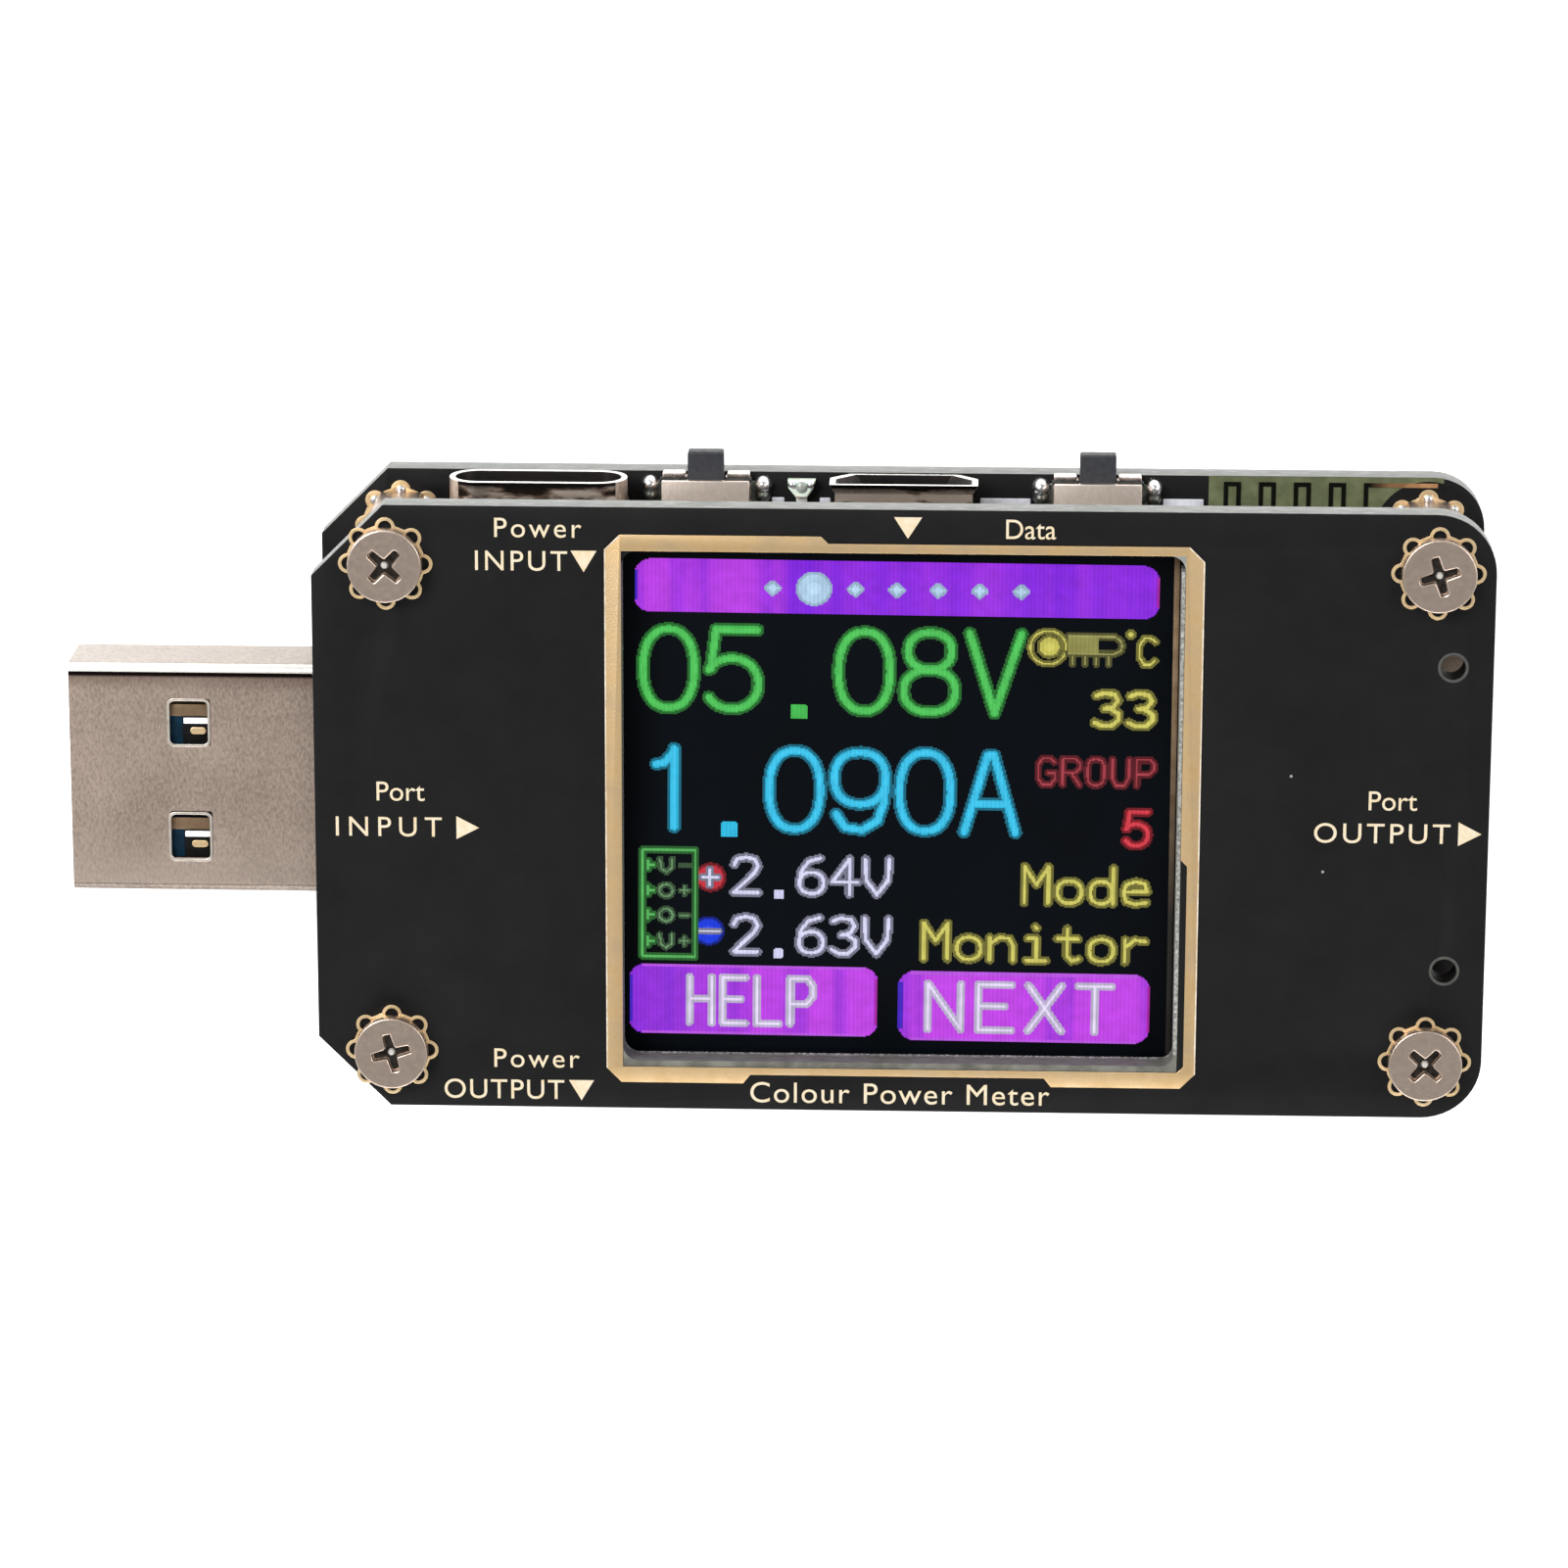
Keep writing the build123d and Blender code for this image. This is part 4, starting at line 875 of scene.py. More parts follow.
# Each character is a few strokes, with commas between them, in a square of 100 by 100, x to the right and
# y down. A stroke is its points, or oval with its centre, its half axes, and if need be its first and last
# angle and its squareness.
STROKES = {
    "0": "oval 50 50 50 50",
    "1": "34 20 50 18 69 3, 69 0 69 100",
    "2": "0 22 12 5 50 0 85 5 100 25 85 45 0 100 100 100",
    "3": "5 8 35 0 80 3 95 22 75 43 40 47, 60 46 98 62 98 82 70 100 30 100 0 90",
    "4": "72 100 72 0 0 66 105 66",
    "5": "95 0 15 0 5 50, oval 46 68 52 32 212 508 2.1",
    "6": "85 0 40 8 8 35 0 70, oval 50 70 50 30",
    "8": "oval 50 23 42 23, oval 50 73.5 50 26.5",
    "9": "oval 50 34 50 33, 100 35 98 62 85 88 55 100 22 97 4 80",
    "A": "0 100 44 2 56 2 100 100, 20 64 80 64",
    "C": "100 15 70 0 30 0 0 28 0 72 30 100 70 100 100 85",
    "E": "100 0 0 0 0 100 100 100, 0 48 80 48",
    "G": "95 15 70 0 25 0 0 25 0 75 25 100 75 100 100 80 100 55 60 55",
    "H": "0 0 0 100, 100 0 100 100, 0 48 100 48",
    "L": "0 0 0 100 100 100",
    "M": "0 100 0 0 50 50 100 0 100 100",
    "N": "0 100 0 0 100 100 100 0",
    "O": "oval 50 50 50 50 0 360 3",
    "P": "0 100 0 0 75 0 100 15 100 40 75 55 0 55",
    "R": "0 100 0 0 75 0 100 15 100 38 75 53 0 53, 50 53 100 100",
    "T": "0 0 100 0, 50 0 50 100",
    "U": "0 0 0 70 25 100 75 100 100 70 100 0",
    "V": "0 0 50 100 100 0",
    "X": "0 0 100 100, 100 0 0 100",
    "v": "0 0 5 60 50 100 95 60 100 0",
    "d": "oval 45 69 45 31, 95 0 95 100",
    "e": "0 66 100 64 88 43 50 37 12 45 0 68 12 93 50 100 95 95",
    "i": "20 38 55 38 55 100, 15 100 95 100, 50 6 55 10",
    "n": "0 100 0 38, 0 55 40 37 80 40 97 60 97 100",
    "o": "oval 50 69 50 31",
    "r": "10 100 10 38, 10 60 50 38 95 42",
    "t": "45 10 45 85 65 100 95 94, 5 38 90 38",
}


def strokes(letter):
    """A character's strokes as points in a unit square."""
    for stroke in STROKES.get(letter, "").split(", "):
        words = stroke.split()
        if words[:1] == ["oval"]:
            numbers = [float(word) for word in words[1:]]
            yield loop(*(number / 100 for number in numbers[:4]), *numbers[4:])
        elif words:
            numbers = [float(word) / 100 for word in words]
            yield list(zip(numbers[::2], numbers[1::2]))


class Screen:
    """The picture on the display. Places and sizes are in display cells, rows counted from the top."""

    def __init__(self):
        self.points = {}

    def put(self, place, colour, bright):
        """Brightness is 2 in the core of a stroke, 1 beside it and 0 at its edge."""
        limit = SCREEN_CELLS * FINE
        if not (0 <= place[0] < limit and 0 <= place[1] < limit):
            return
        before = self.points.get(place)
        if before is None or before[0] != colour or before[1] < bright:
            self.points[place] = (colour, bright)

    def fill(self, left, top, right, bottom, colour, cut=0.0):
        """A filled rectangle with its corners rounded by cut."""
        for row in range(round(top * FINE), round(bottom * FINE)):
            level = (row + 0.5) / FINE
            beyond = max(cut - (level - top), cut - (bottom - level), 0.0)
            inset = cut - math.sqrt(max(cut * cut - beyond * beyond, 0.0))
            for column in range(round((left + inset) * FINE), round((right - inset) * FINE)):
                self.points[(column, row)] = (colour, 1)

    def stroke(self, points, width, colour):
        """A thick line with a bright core and a dim edge."""
        for (ax, ay), (bx, by) in zip(points, points[1:] or points):
            reach = width / 2 + SOFT_EDGE
            length = (bx - ax) ** 2 + (by - ay) ** 2
            rows = range(math.floor((min(ay, by) - reach) * FINE), math.ceil((max(ay, by) + reach) * FINE))
            columns = range(math.floor((min(ax, bx) - reach) * FINE), math.ceil((max(ax, bx) + reach) * FINE))
            for row in rows:
                for column in columns:
                    x, y = (column + 0.5) / FINE, (row + 0.5) / FINE
                    share = 0.0
                    if length:
                        share = min(1.0, max(0.0, ((x - ax) * (bx - ax) + (y - ay) * (by - ay)) / length))
                    away = math.hypot(x - ax - share * (bx - ax), y - ay - share * (by - ay))
                    if away <= reach:
                        bright = 2 if away < width * 0.2 else int(away <= width / 2 - SOFT_EDGE)
                        self.put((column, row), colour, bright)

    def disc(self, x, y, radius, colour):
        """A round dot."""
        self.stroke([(x, y), (x, y)], 2 * radius, colour)

    def ring(self, x, y, radius, width, colour):
        """A circle drawn with a thick line."""
        self.stroke(loop(x, y, radius, radius, power=2.0), width, colour)

    def words(self, text, left, top, pitch, width, height, thick, colour):
        """Evenly spaced characters; width and height include the thickness of the strokes."""
        for index, letter in enumerate(text):
            x, half = left + index * pitch, thick / 2
            if letter == ".":
                reach, middle, foot = thick * 0.75, x + width / 2, top + height
                low, high = foot - reach * 1.44, foot + reach * 0.56
                self.fill(middle - reach, low, middle + reach, high, colour, 0.4)
            for line in strokes(letter):
                self.stroke([(x + half + px * (width - thick), top + half + py * (height - thick))
                             for px, py in line], thick, colour)

    def build(self, palette):
        """One piece of thin lit tiles, each as large as its colour allows."""
        names = [(name, bright) for name in palette for bright in (0, 1, 2)]
        limit = SCREEN_CELLS * FINE
        turn = Matrix.Rotation(math.radians(SCREEN_TURN), 4, "Z")
        centre = Vector(((SCREEN_X[0] + SCREEN_X[1]) / 2, (SCREEN_Y[0] + SCREEN_Y[1]) / 2, 0.0))
        work = bmesh.new()
        level = Z_SCREEN + 0.012             # just above the polariser
        open_tiles = {}

        def close(tile, top, bottom):
            start, end, mark = tile
            x_low, x_high = (SCREEN_X[0] + column * CELL_X / FINE for column in (start, end))
            y_high, y_low = (SCREEN_Y[1] - row * CELL_Y / FINE for row in (top, bottom))
            corners = []
            for x, y in ((x_low, y_low), (x_high, y_low), (x_high, y_high), (x_low, y_high)):
                spot = turn @ (Vector((x, y, 0.0)) - centre) + centre
                corners.append(work.verts.new((spot.x, spot.y, level)))
            work.faces.new(corners).material_index = names.index(mark)

        for row in range(limit + 1):
            runs = set()
            column = 0
            while row < limit and column < limit:
                mark = self.points.get((column, row))
                start = column
                while column < limit and self.points.get((column, row)) == mark:
                    column += 1
                if mark is not None and mark[0]:
                    runs.add((start, column, mark))
            for tile in sorted(set(open_tiles) - runs, key=str):
                close(tile, open_tiles.pop(tile), row)
            for tile in runs - set(open_tiles):
                open_tiles[tile] = row
        materials = [material for name in palette for material in palette[name]]
        add_piece("screen_picture", work, materials, "display_face")


def glow(name, colour, other=None, lean=None, dim=0.30):
    """A colour of the display: its dim edge, itself and its bright core."""
    faint = tuple(channel * dim for channel in colour)
    hot = tuple(min(1.0, channel * HOT + 0.02) for channel in colour)
    return lit("dim_" + name, faint), lit("lit_" + name, colour, other, lean), lit("hot_" + name, hot)


# left, top, right, bottom, colour and corner radius: the heading and the two keys, with their thin edges
BARS = [
    (1.2, 1.8, 127, 15.4, "violet", 4),
    (1.2, 4.8, 1.9, 12.4, "indigo", 0),
    (126.3, 4.8, 127, 12.4, "plum", 0),
    (0.2, 107.0, 60.8, 125.4, "orchid", 4),
    (65.8, 107.8, 127.0, 125.9, "orchid", 4),
    (3.2, 107.0, 57.8, 107.7, "pink", 0),
    (3.2, 124.7, 57.8, 125.4, "pink", 0),
    (68.8, 107.8, 124.0, 108.5, "pink", 0),
    (68.8, 125.2, 124.0, 125.9, "pink", 0),
    (0.2, 110.0, 0.9, 122.4, "indigo", 0),
    (65.8, 110.8, 66.9, 122.9, "indigo", 0),
    (60.1, 110.0, 60.8, 122.4, "plum", 0),
    (126.3, 110.8, 127.0, 122.9, "plum", 0),
]
# words, left, top, from one character to the next, width, height, thickness, colour
WORDS = [
    ("05.08V", 2.0, 18.4, 15.7, 15.0, 23.0, 2.6, "green"),
    ("1.090A", 1.1, 49.3, 15.75, 15.0, 23.0, 2.6, "cyan"),
    ("C", 121.9, 19.6, 6.0, 5.0, 8.0, 1.2, "yellow"),
    ("33", 111.2, 33.6, 8.2, 7.6, 10.2, 1.8, "yellow"),
    ("GROUP", 98.2, 51.0, 5.95, 5.2, 7.9, 1.15, "maroon"),
    ("5", 119.3, 64.2, 8.0, 7.3, 10.6, 1.8, "red"),
    ("2.64v", 24.8, 77.8, 7.95, 7.4, 10.8, 1.6, "white"),
    ("2.63v", 24.8, 93.4, 7.95, 7.4, 10.8, 1.6, "white"),
    ("Mode", 95.2, 79.0, 8.0, 7.4, 11.0, 1.6, "yellow"),
    ("Monitor", 71.0, 94.2, 8.05, 7.4, 11.0, 1.6, "yellow"),
    ("HELP", 14.2, 109.6, 8.2, 6.8, 13.4, 1.35, "lilac"),
    ("NEXT", 72.4, 110.3, 12.2, 9.4, 13.4, 1.35, "lilac"),
]
# a colour, then where it has one a second colour and how that spreads, and how dim its edge is
COLOURS = {
    "violet": ((0.22, 0.018, 0.80), (0.52, 0.055, 0.84), (1.7, 0.45, 3.5, 9.0),),
    "orchid": ((0.25, 0.028, 0.74), (0.58, 0.065, 0.86), (0.15, 1.7, 0.5, 11.0),),
    "pink": ((0.52, 0.10, 0.82),),
    "indigo": ((0.06, 0.02, 0.55),),
    "plum": ((0.40, 0.02, 0.38),),
    "ice": ((0.46, 0.66, 0.86), None, None, 0.72),
    "green": ((0.065, 0.52, 0.085),),
    "cyan": ((0.030, 0.52, 0.80),),
    "yellow": ((0.60, 0.56, 0.11),),
    "olive": ((0.30, 0.29, 0.08),),
    "maroon": ((0.36, 0.030, 0.045),),
    "red": ((0.62, 0.03, 0.05),),
    "white": ((0.66, 0.66, 0.92),),
    "lilac": ((0.74, 0.66, 0.92), None, None, 0.7),
    "blue": ((0.010, 0.045, 0.78),),
    "leaf": ((0.075, 0.42, 0.085),),
    "moss": ((0.14, 0.30, 0.13),),
}


def screen_picture():
    """The heading, the readings, a thermometer, a socket's contacts and two keys."""
    screen = Screen()
    for left, top, right, bottom, colour, corner in BARS:
        screen.fill(left, top, right, bottom, colour, corner)
    for index in range(7):
        x = 34.4 + 9.92 * index
        if index == 1:
            screen.disc(x, 8.9, 4.0, "ice")
            continue
        screen.disc(x, 8.9, 1.35, "ice")
        screen.stroke([(x - 1.3, 8.9), (x + 1.3, 8.9)], 0.9, "ice")
        screen.stroke([(x, 7.7), (x, 10.1)], 0.9, "ice")
    # a thermometer lying on its side, and the degree sign
    screen.ring(100.6, 23.0, 4.3, 1.0, "yellow")
    screen.disc(100.9, 22.8, 2.7, "yellow")
    screen.fill(105.2, 20.2, 112.5, 24.2, "olive")
    screen.stroke([(105.5, 20.0), (116.5, 20.0), (118.0, 21.0), (118.4, 22.3), (118.0, 23.6), (116.5, 24.4),
                   (105.5, 24.4)], 1.1, "olive")
    for x in (106.5, 109.5, 112.3, 115.2):
        screen.stroke([(x, 25.3), (x, 27.2)], 0.9, "olive")
    screen.disc(120.3, 19.3, 1.0, "yellow")
    screen.disc(19.9, 84.0, 3.5, "red")
    screen.stroke([(17.8, 84.0), (21.6, 84.0)], 1.3, "white")
    screen.stroke([(19.7, 82.0), (19.7, 86.0)], 1.3, "white")
    screen.disc(19.5, 98.1, 3.5, "blue")
    screen.stroke([(17.0, 98.1), (22.0, 98.1)], 1.0, "white")
    # a socket seen from its mouth: four contacts, two for supply and two for data
    screen.stroke([(3.4, 77.0), (16.2, 77.0), (16.2, 105.0), (3.4, 105.0), (3.4, 77.0)], 1.2, "leaf")
    for index, row in enumerate((81.0, 87.6, 94.1, 100.9)):
        screen.stroke([(4.7, row - 1.2), (4.7, row + 1.2)], 1.2, "leaf")
        screen.stroke([(4.9, row), (6.1, row)], 1.5, "leaf")
        if index in (0, 3):
            screen.stroke([(7.6, row - 1.6), (7.8, row + 0.8), (9.1, row + 1.8), (10.4, row + 0.8),
                           (10.6, row - 1.6)], 0.9, "moss")
        else:
            screen.ring(9.1, row, 1.6, 0.9, "moss")
        screen.stroke([(12.6, row), (14.6, row)], 0.8, "moss")
        if index % 2:
            screen.stroke([(13.6, row - 1.0), (13.6, row + 1.0)], 0.8, "moss")
    for row in WORDS:
        screen.words(*row)
    screen.build({name: glow(name, *looks) for name, looks in COLOURS.items()})


def film_edge():
    """The amber film edge that shows beside the display inside the window."""
    work = bmesh.new()
    add_box(work, (19.84, -12.9, Z_SCREEN), (20.12, 13.2, Z_SCREEN + 0.1), 0, 0.03)
    add_piece("film_edge", work, [AMBER], "flex_film")


# ---- parts on the main board -------------------------------------------------------------------
def two_ended_parts(node, end_share=0.24):
    """Chip resistors and capacitors: a ceramic body and wrapped tinned ends."""
    work = bmesh.new()
    for low, high in islands(node):
        size = high - low
        along = 0 if size.x > size.y else 1
        end = size[along] * end_share
        inset = Vector((0.02, 0.02, 0.0))
        inset[along] = end * 0.6
        add_box(work, low + inset, high - inset - Vector((0, 0, 0.02)), 0, 0.03)
        first_high, last_low = high.copy(), low.copy()
        first_high[along] = low[along] + end
        last_low[along] = high[along] - end
        add_box(work, low, first_high, 1, 0.05, 3)
        add_box(work, last_low, high, 1, 0.05, 3)
    stand_for(node, work, [FINISH[SLOT_OF[node]], TINNED])


def moulded_chip(node):
    """A moulded package: draft on its sides, a dimple at pin 1 painted with shade, and bent tinned leads."""
    draft, foot_height, knee_share = 0.12, 0.14, 0.45
    (low, high), *leads = islands(node)
    middle = low.z + (high.z - low.z) * knee_share
    work = bmesh.new()
    for levels in (((low.z, draft), (middle, 0.0)), ((middle, 0.0), (high.z, draft))):
        part = bmesh.new()
        rings = [[part.verts.new((x, y, level)) for x, y in (
            (low.x + inset, low.y + inset), (high.x - inset, low.y + inset),
            (high.x - inset, high.y - inset), (low.x + inset, high.y - inset))] for level, inset in levels]
        part.faces.new(reversed(rings[0]))
        part.faces.new(rings[1])
        for index in range(4):
            after = (index + 1) % 4
            part.faces.new((rings[0][index], rings[0][after], rings[1][after], rings[1][index]))
        merge(work, part, 0)
    radius = min(high.x - low.x, high.y - low.y) * 0.07
    dimple = (low.x + 3.2 * radius, high.y - 3.2 * radius, high.z - 0.005)
    # The dimple is painted shade.
    add_lathe(work, dimple, [(radius, 0.0), (radius * 0.9, 0.012), (0.0, 0.012)], 2, 20)
    for lead_low, lead_high in leads:
        foot_low, foot_high, knee_low, knee_high = (corner.copy() for corner in (lead_low, lead_high) * 2)
        along = 0 if not low.x <= (lead_low.x + lead_high.x) / 2 <= high.x else 1
        reach = lead_high[along] - lead_low[along]
        if lead_low[along] + lead_high[along] > low[along] + high[along]:
            foot_low[along] += reach * 0.4
            knee_high[along] = lead_low[along] + reach * 0.55
        else:
            foot_high[along] -= reach * 0.4
            knee_low[along] = lead_high[along] - reach * 0.55
        foot_high.z = lead_low.z + foot_height
        knee_high.z = middle + 0.06
        add_box(work, foot_low, foot_high, 1, 0.03)
        add_box(work, knee_low, knee_high, 1, 0.05)
    stand_for(node, work, [FINISH["chip_plastic"], TINNED, RECESS_SHADE_METAL])


def solder_dome(work, x, y, base, radius, height, material=0):
    """A bead of solder that wets out onto its pad."""
    angles = [step / 8 * math.pi / 2 for step in range(9)]
    profile = [(radius * math.cos(angle) ** 0.8, height * math.sin(angle) ** 1.2) for angle in angles]
    add_lathe(work, (x, y, base), profile, material, 24)


def switch_details():
    """Solder beads at the feet of each switch, the inner ones painted darker as a dark reflection; its two
    front tabs, painted brighter than the cover as a highlight; and painted shadow in the bend above them.
    """
    # The outer bead is bright solder; the inner bead is painted darker, as a dark reflection on the same
    # fillet.
    bead_sizes = ((0.5, 0.46, 0.8, 0), (1.05, 0.42, 0.7, 1))    # distance inwards, radius, height, material
    tab_foot, tab_top, shadow_foot, shadow_top = (Z_BOARD + height for height in (0.02, 0.9, 0.93, 1.7))
    beads, tabs, shadow_lines = bmesh.new(), bmesh.new(), bmesh.new()
    for name in SWITCHES:
        low, high = node_box(name + "_switch_cover")
        post_low, post_high = node_box(name + "_switch_plunger")
        outward = 1 if name.startswith("top") else -1
        edge = high.y if outward > 0 else low.y
        tab_near, tab_far = sorted((edge - outward * 0.05, edge + outward * 0.2))
        shadow_near, shadow_far = sorted((edge - outward * 0.1, edge + outward * 0.02))
        for x, left, right in ((low.x + 0.1, low.x + 0.75, post_low.x + 0.2),
                               (high.x - 0.1, post_high.x - 0.2, high.x - 0.75)):
            for reach, radius, height, material in bead_sizes:
                solder_dome(beads, x, edge - outward * reach, Z_BOARD, radius, height, material)
            for share in (0.27, 0.73):
                half = (right - left) * 0.27
                middle = left + (right - left) * share
                low_corner = (middle - half, tab_near, tab_foot)
                add_box(tabs, low_corner, (middle + half, tab_far, tab_top), 0, 0.1, 3)
            # Painted shadow in the bend above the tabs.
            add_box(shadow_lines, (left - 0.1, shadow_near, shadow_foot), (right + 0.1, shadow_far, shadow_top), 0, 0.01)
    add_piece("switch_solder_beads", beads, [FINISH["solder"], SOLDER_DARK_REFLECTION], "solder")
    add_piece("switch_front_tabs", tabs, [ROSY_NICKEL_HIGHLIGHT], "switch_steel")
    add_piece("switch_front_painted_shadows", shadow_lines, [SHADE], "black_plastic")


def cover_paint(node):
    """The cover's flat top is beige sheet; its legs are solder, painted dark as a dark reflection."""
    low, high = node_box(node)
    leg = 0.6
    return lambda face: int(not low.x + leg < face.calc_center_median().x < high.x - leg)


def bright_pads():
    """Tinned pads near the top edge that show between the connectors."""
    pads = ((10.2, 12.75, 14.25, 1.4), (19.4, 21.45, 14.3, 1.4),      # left, right, top, depth
            (-0.32, 0.32, 14.2, 0.8), (2.1, 2.65, 14.2, 0.8))
    work = bmesh.new()
    for left, right, top, depth in pads:
        add_box(work, (left, top - depth, Z_BOARD), (right, top, Z_BOARD + 0.14), 0, 0.06, 3)
    add_piece("tinned_pads", work, [COOL_TIN], "solder")


def edge_lamp():
    """The side-looking lamp: a milky lens that narrows inwards, between two beads, on a white foot."""
    low, high = node_box("edge_lamp")
    middle = (low.x + high.x) / 2
    work = bmesh.new()
    outline = [(low.x, high.y), (low.x + 0.03, high.y - 0.42), (middle - 0.3, low.y + 0.3),
               (middle + 0.28, low.y + 0.3), (high.x - 0.05, high.y - 0.35), (high.x, high.y)]
    dome = [(0.3, 0.0), (0.28, 0.16), (0.16, 0.27), (0.0, 0.3)]
    add_mesh(work, plate_mesh([outline], low.z, low.z + 0.62, 0.1, 4), 0)
    add_lathe(work, (middle, high.y - 0.36, low.z + 0.5), dome, 1, 32)
    add_box(work, (middle - 0.28, low.y, low.z), (middle + 0.28, low.y + 0.34, low.z + 0.3), 2, 0.06)
    for side in (-1, 1):
        solder_dome(work, middle + side * 0.46, high.y - 0.24, low.z + 0.5, 0.22, 0.26, 3)
    stand_for("edge_lamp", work, [FINISH["lamp_lens"], CLEAR_RESIN, FINISH["tray_plastic"], FINISH["solder"]])


# ---- the plug's details ------------------------------------------------------------------------
def plug_windows():
    """Rolled rims round the two latch windows, painted brighter than the sheet as a highlight, and the
    contact springs that show inside, beside a patch of painted shade.
    """
    top = node_box("usb_a_plug_shell")[1].z
    base = node_box("usb_a_plug_insulator")[1].z
    rims, inside = bmesh.new(), bmesh.new()
    for left, bottom, right, high in PLUG_WINDOWS:
        outer = rounded_rectangle(left - PLUG_RIM, bottom - PLUG_RIM, right + PLUG_RIM, high + PLUG_RIM, 0.33)
        inner = rounded_rectangle(left, bottom, right, high, PLUG_WINDOW_ROUND)
        add_mesh(rims, plate_mesh([outer, inner], top - 0.12, top + 0.025, 0.03))
        shelf, far, split, below = high - 0.85, right + 0.1, left + 0.62, base - 0.05
        # The third box is painted shade; the others are a tan contact, the blue insulator and a white spring.
        boxes = (((left - 0.1, shelf, below), (far, high - 0.24, base + 0.03), 0.02),
                 ((left - 0.1, bottom - 0.05, below), (split, shelf, base + 0.02), 0.02),
                 ((split, bottom - 0.05, below), (far, shelf, base + 0.01), 0.02),
                 ((left + 0.68, high - 1.22, base), (far, high - 0.93, base + 0.12), 0.03))
        for index, (low_corner, high_corner, rounding) in enumerate(boxes):
            add_box(inside, low_corner, high_corner, index, rounding)
        blob = rounded_rectangle(left + 1.0, high - 1.78, right - 0.12, high - 1.42, 0.17)
        add_mesh(inside, plate_mesh([blob], base, base + 0.08, 0.03), 4)
    add_piece("plug_window_rims", rims, [NICKEL_RIM_HIGHLIGHT], "connector_shell")
    add_piece("plug_window_inside", inside, [TAN_METAL, NAVY, SHADE, WHITE_SPRING, FINISH["gold_plating"]],
              "gold_plating")


def shell_paint(node, mouth, lip=0.35, flat_top=False):
    """Face paint for a connector shell: 0 outside, 1 the lip round its mouth, 2 inside, 3 the flat top. Most
    callers paint 1 with a highlight; 2 is painted shade and 3 gets painted reflections.
    """
    low, high = node_box(node)
    middle = (low + high) / 2
    middle.z = (Z_BOARD + 0.3 + high.z) / 2
    reach = max(abs(low.dot(mouth)), abs(high.dot(mouth)))

    def paint(face):
        centre, normal = face.calc_center_median(), face.normal
        if normal.dot(mouth) > lip and abs(centre.dot(mouth)) > reach - 0.5:
            return 1
        out = centre - middle
        out -= mouth * out.dot(mouth)
        if out.dot(normal) < 0 and abs(normal.dot(mouth)) < 0.9:
            return 2
        return 3 if flat_top and normal.z > 0.75 else 0
    return paint


def plug_face():
    """The plug's sheet with a painted dark reflection along the bend nearest the top edge, a painted dark
    rosy reflection that fades out below it, and painted light that makes the sheet paler towards its far end.
    """
    recipe = Recipe("plug_face")
    top = node_box("usb_a_plug_shell")[1].y - PLUG_BEND + 0.1
    inward = recipe.math("SUBTRACT", top, recipe.axis(recipe.place(), "y"))
    grain = recipe.noise(0.125, 4.0, (1.0, 0.5, 1.0), (0, 0, math.radians(52)), 0.8)
    tone = recipe.weigh(grain, 0.85, recipe.noise(4.0, 2.0), 0.15)
    sheet = recipe.tones(tone, (0.26, 0.200, 0.163), (0.62, 0.500, 0.420), 0.37, 0.63)
    # Painted light pales the far end; painted reflections darken the top edge.
    lit_end = recipe.mix(recipe.remap(inward, 0.0, 0.28, 8.0, 11.4), sheet, (0.72, 0.62, 0.54))
    rosy_reflection = recipe.mix(recipe.remap(inward, 0.55, 0.0, 0.25, 1.0), lit_end, (0.12, 0.062, 0.045))
    dark_reflection_band = recipe.mix(recipe.remap(inward, 1.0, 0.0, 0.20, 0.32), rosy_reflection, (0.008, 0.005, 0.005))
    recipe.set(Base_Color=dark_reflection_band, Metallic=1.0, Roughness=recipe.remap(grain, 0.5, 0.36))
    recipe.bump(grain, 0.014)
    return recipe.material


def plug_paint(face):
    """As other shells, with a painted highlight along the outer bend (1) and sheets of their own on the side
    nearest the top edge (4) and the far side (5), the far one painted darker as shade."""
    index = PLUG_SHELL_PAINT(face)
    y, normal = face.calc_center_median().y, face.normal
    if index in (0, 3) and y > 0 and normal.z > -0.2 and normal.y > 0.12:
        return 1 if normal.y < 0.93 else 4
    # The far side's sheet is painted darker as shade.
    if index in (0, 3) and y < 0 and normal.y < -0.12:
        return 5
    return index


def vias():
    """The places of the eight vias round each screw."""
    for x, y in SCREW_CENTRES:
        for index in range(8):
            angle = index * math.pi / 4
            yield x + VIA_CIRCLE * math.cos(angle), y + VIA_CIRCLE * math.sin(angle)


def via_details():
    """A black ring over the inner rim of each front via, which leaves a narrow gold line, and solder balls in
    the vias of the main board."""
    black_rings, balls = bmesh.new(), bmesh.new()
    for x, y in vias():
        ring = [circle(x, y, radius, 24) for radius in (0.33, 0.22)]
        add_mesh(black_rings, plate_mesh(ring, Z_PANEL + 0.02, Z_PANEL + 0.058))
        solder_dome(balls, x, y, Z_BOARD + 0.02, 0.27, 0.2)
    add_piece("via_black_rings", black_rings, [SHADE], "board_black")
    add_piece("filled_vias", balls, [FINISH["solder"]], "solder")


# ---- build -------------------------------------------------------------------------------------
paint_cad_nodes()
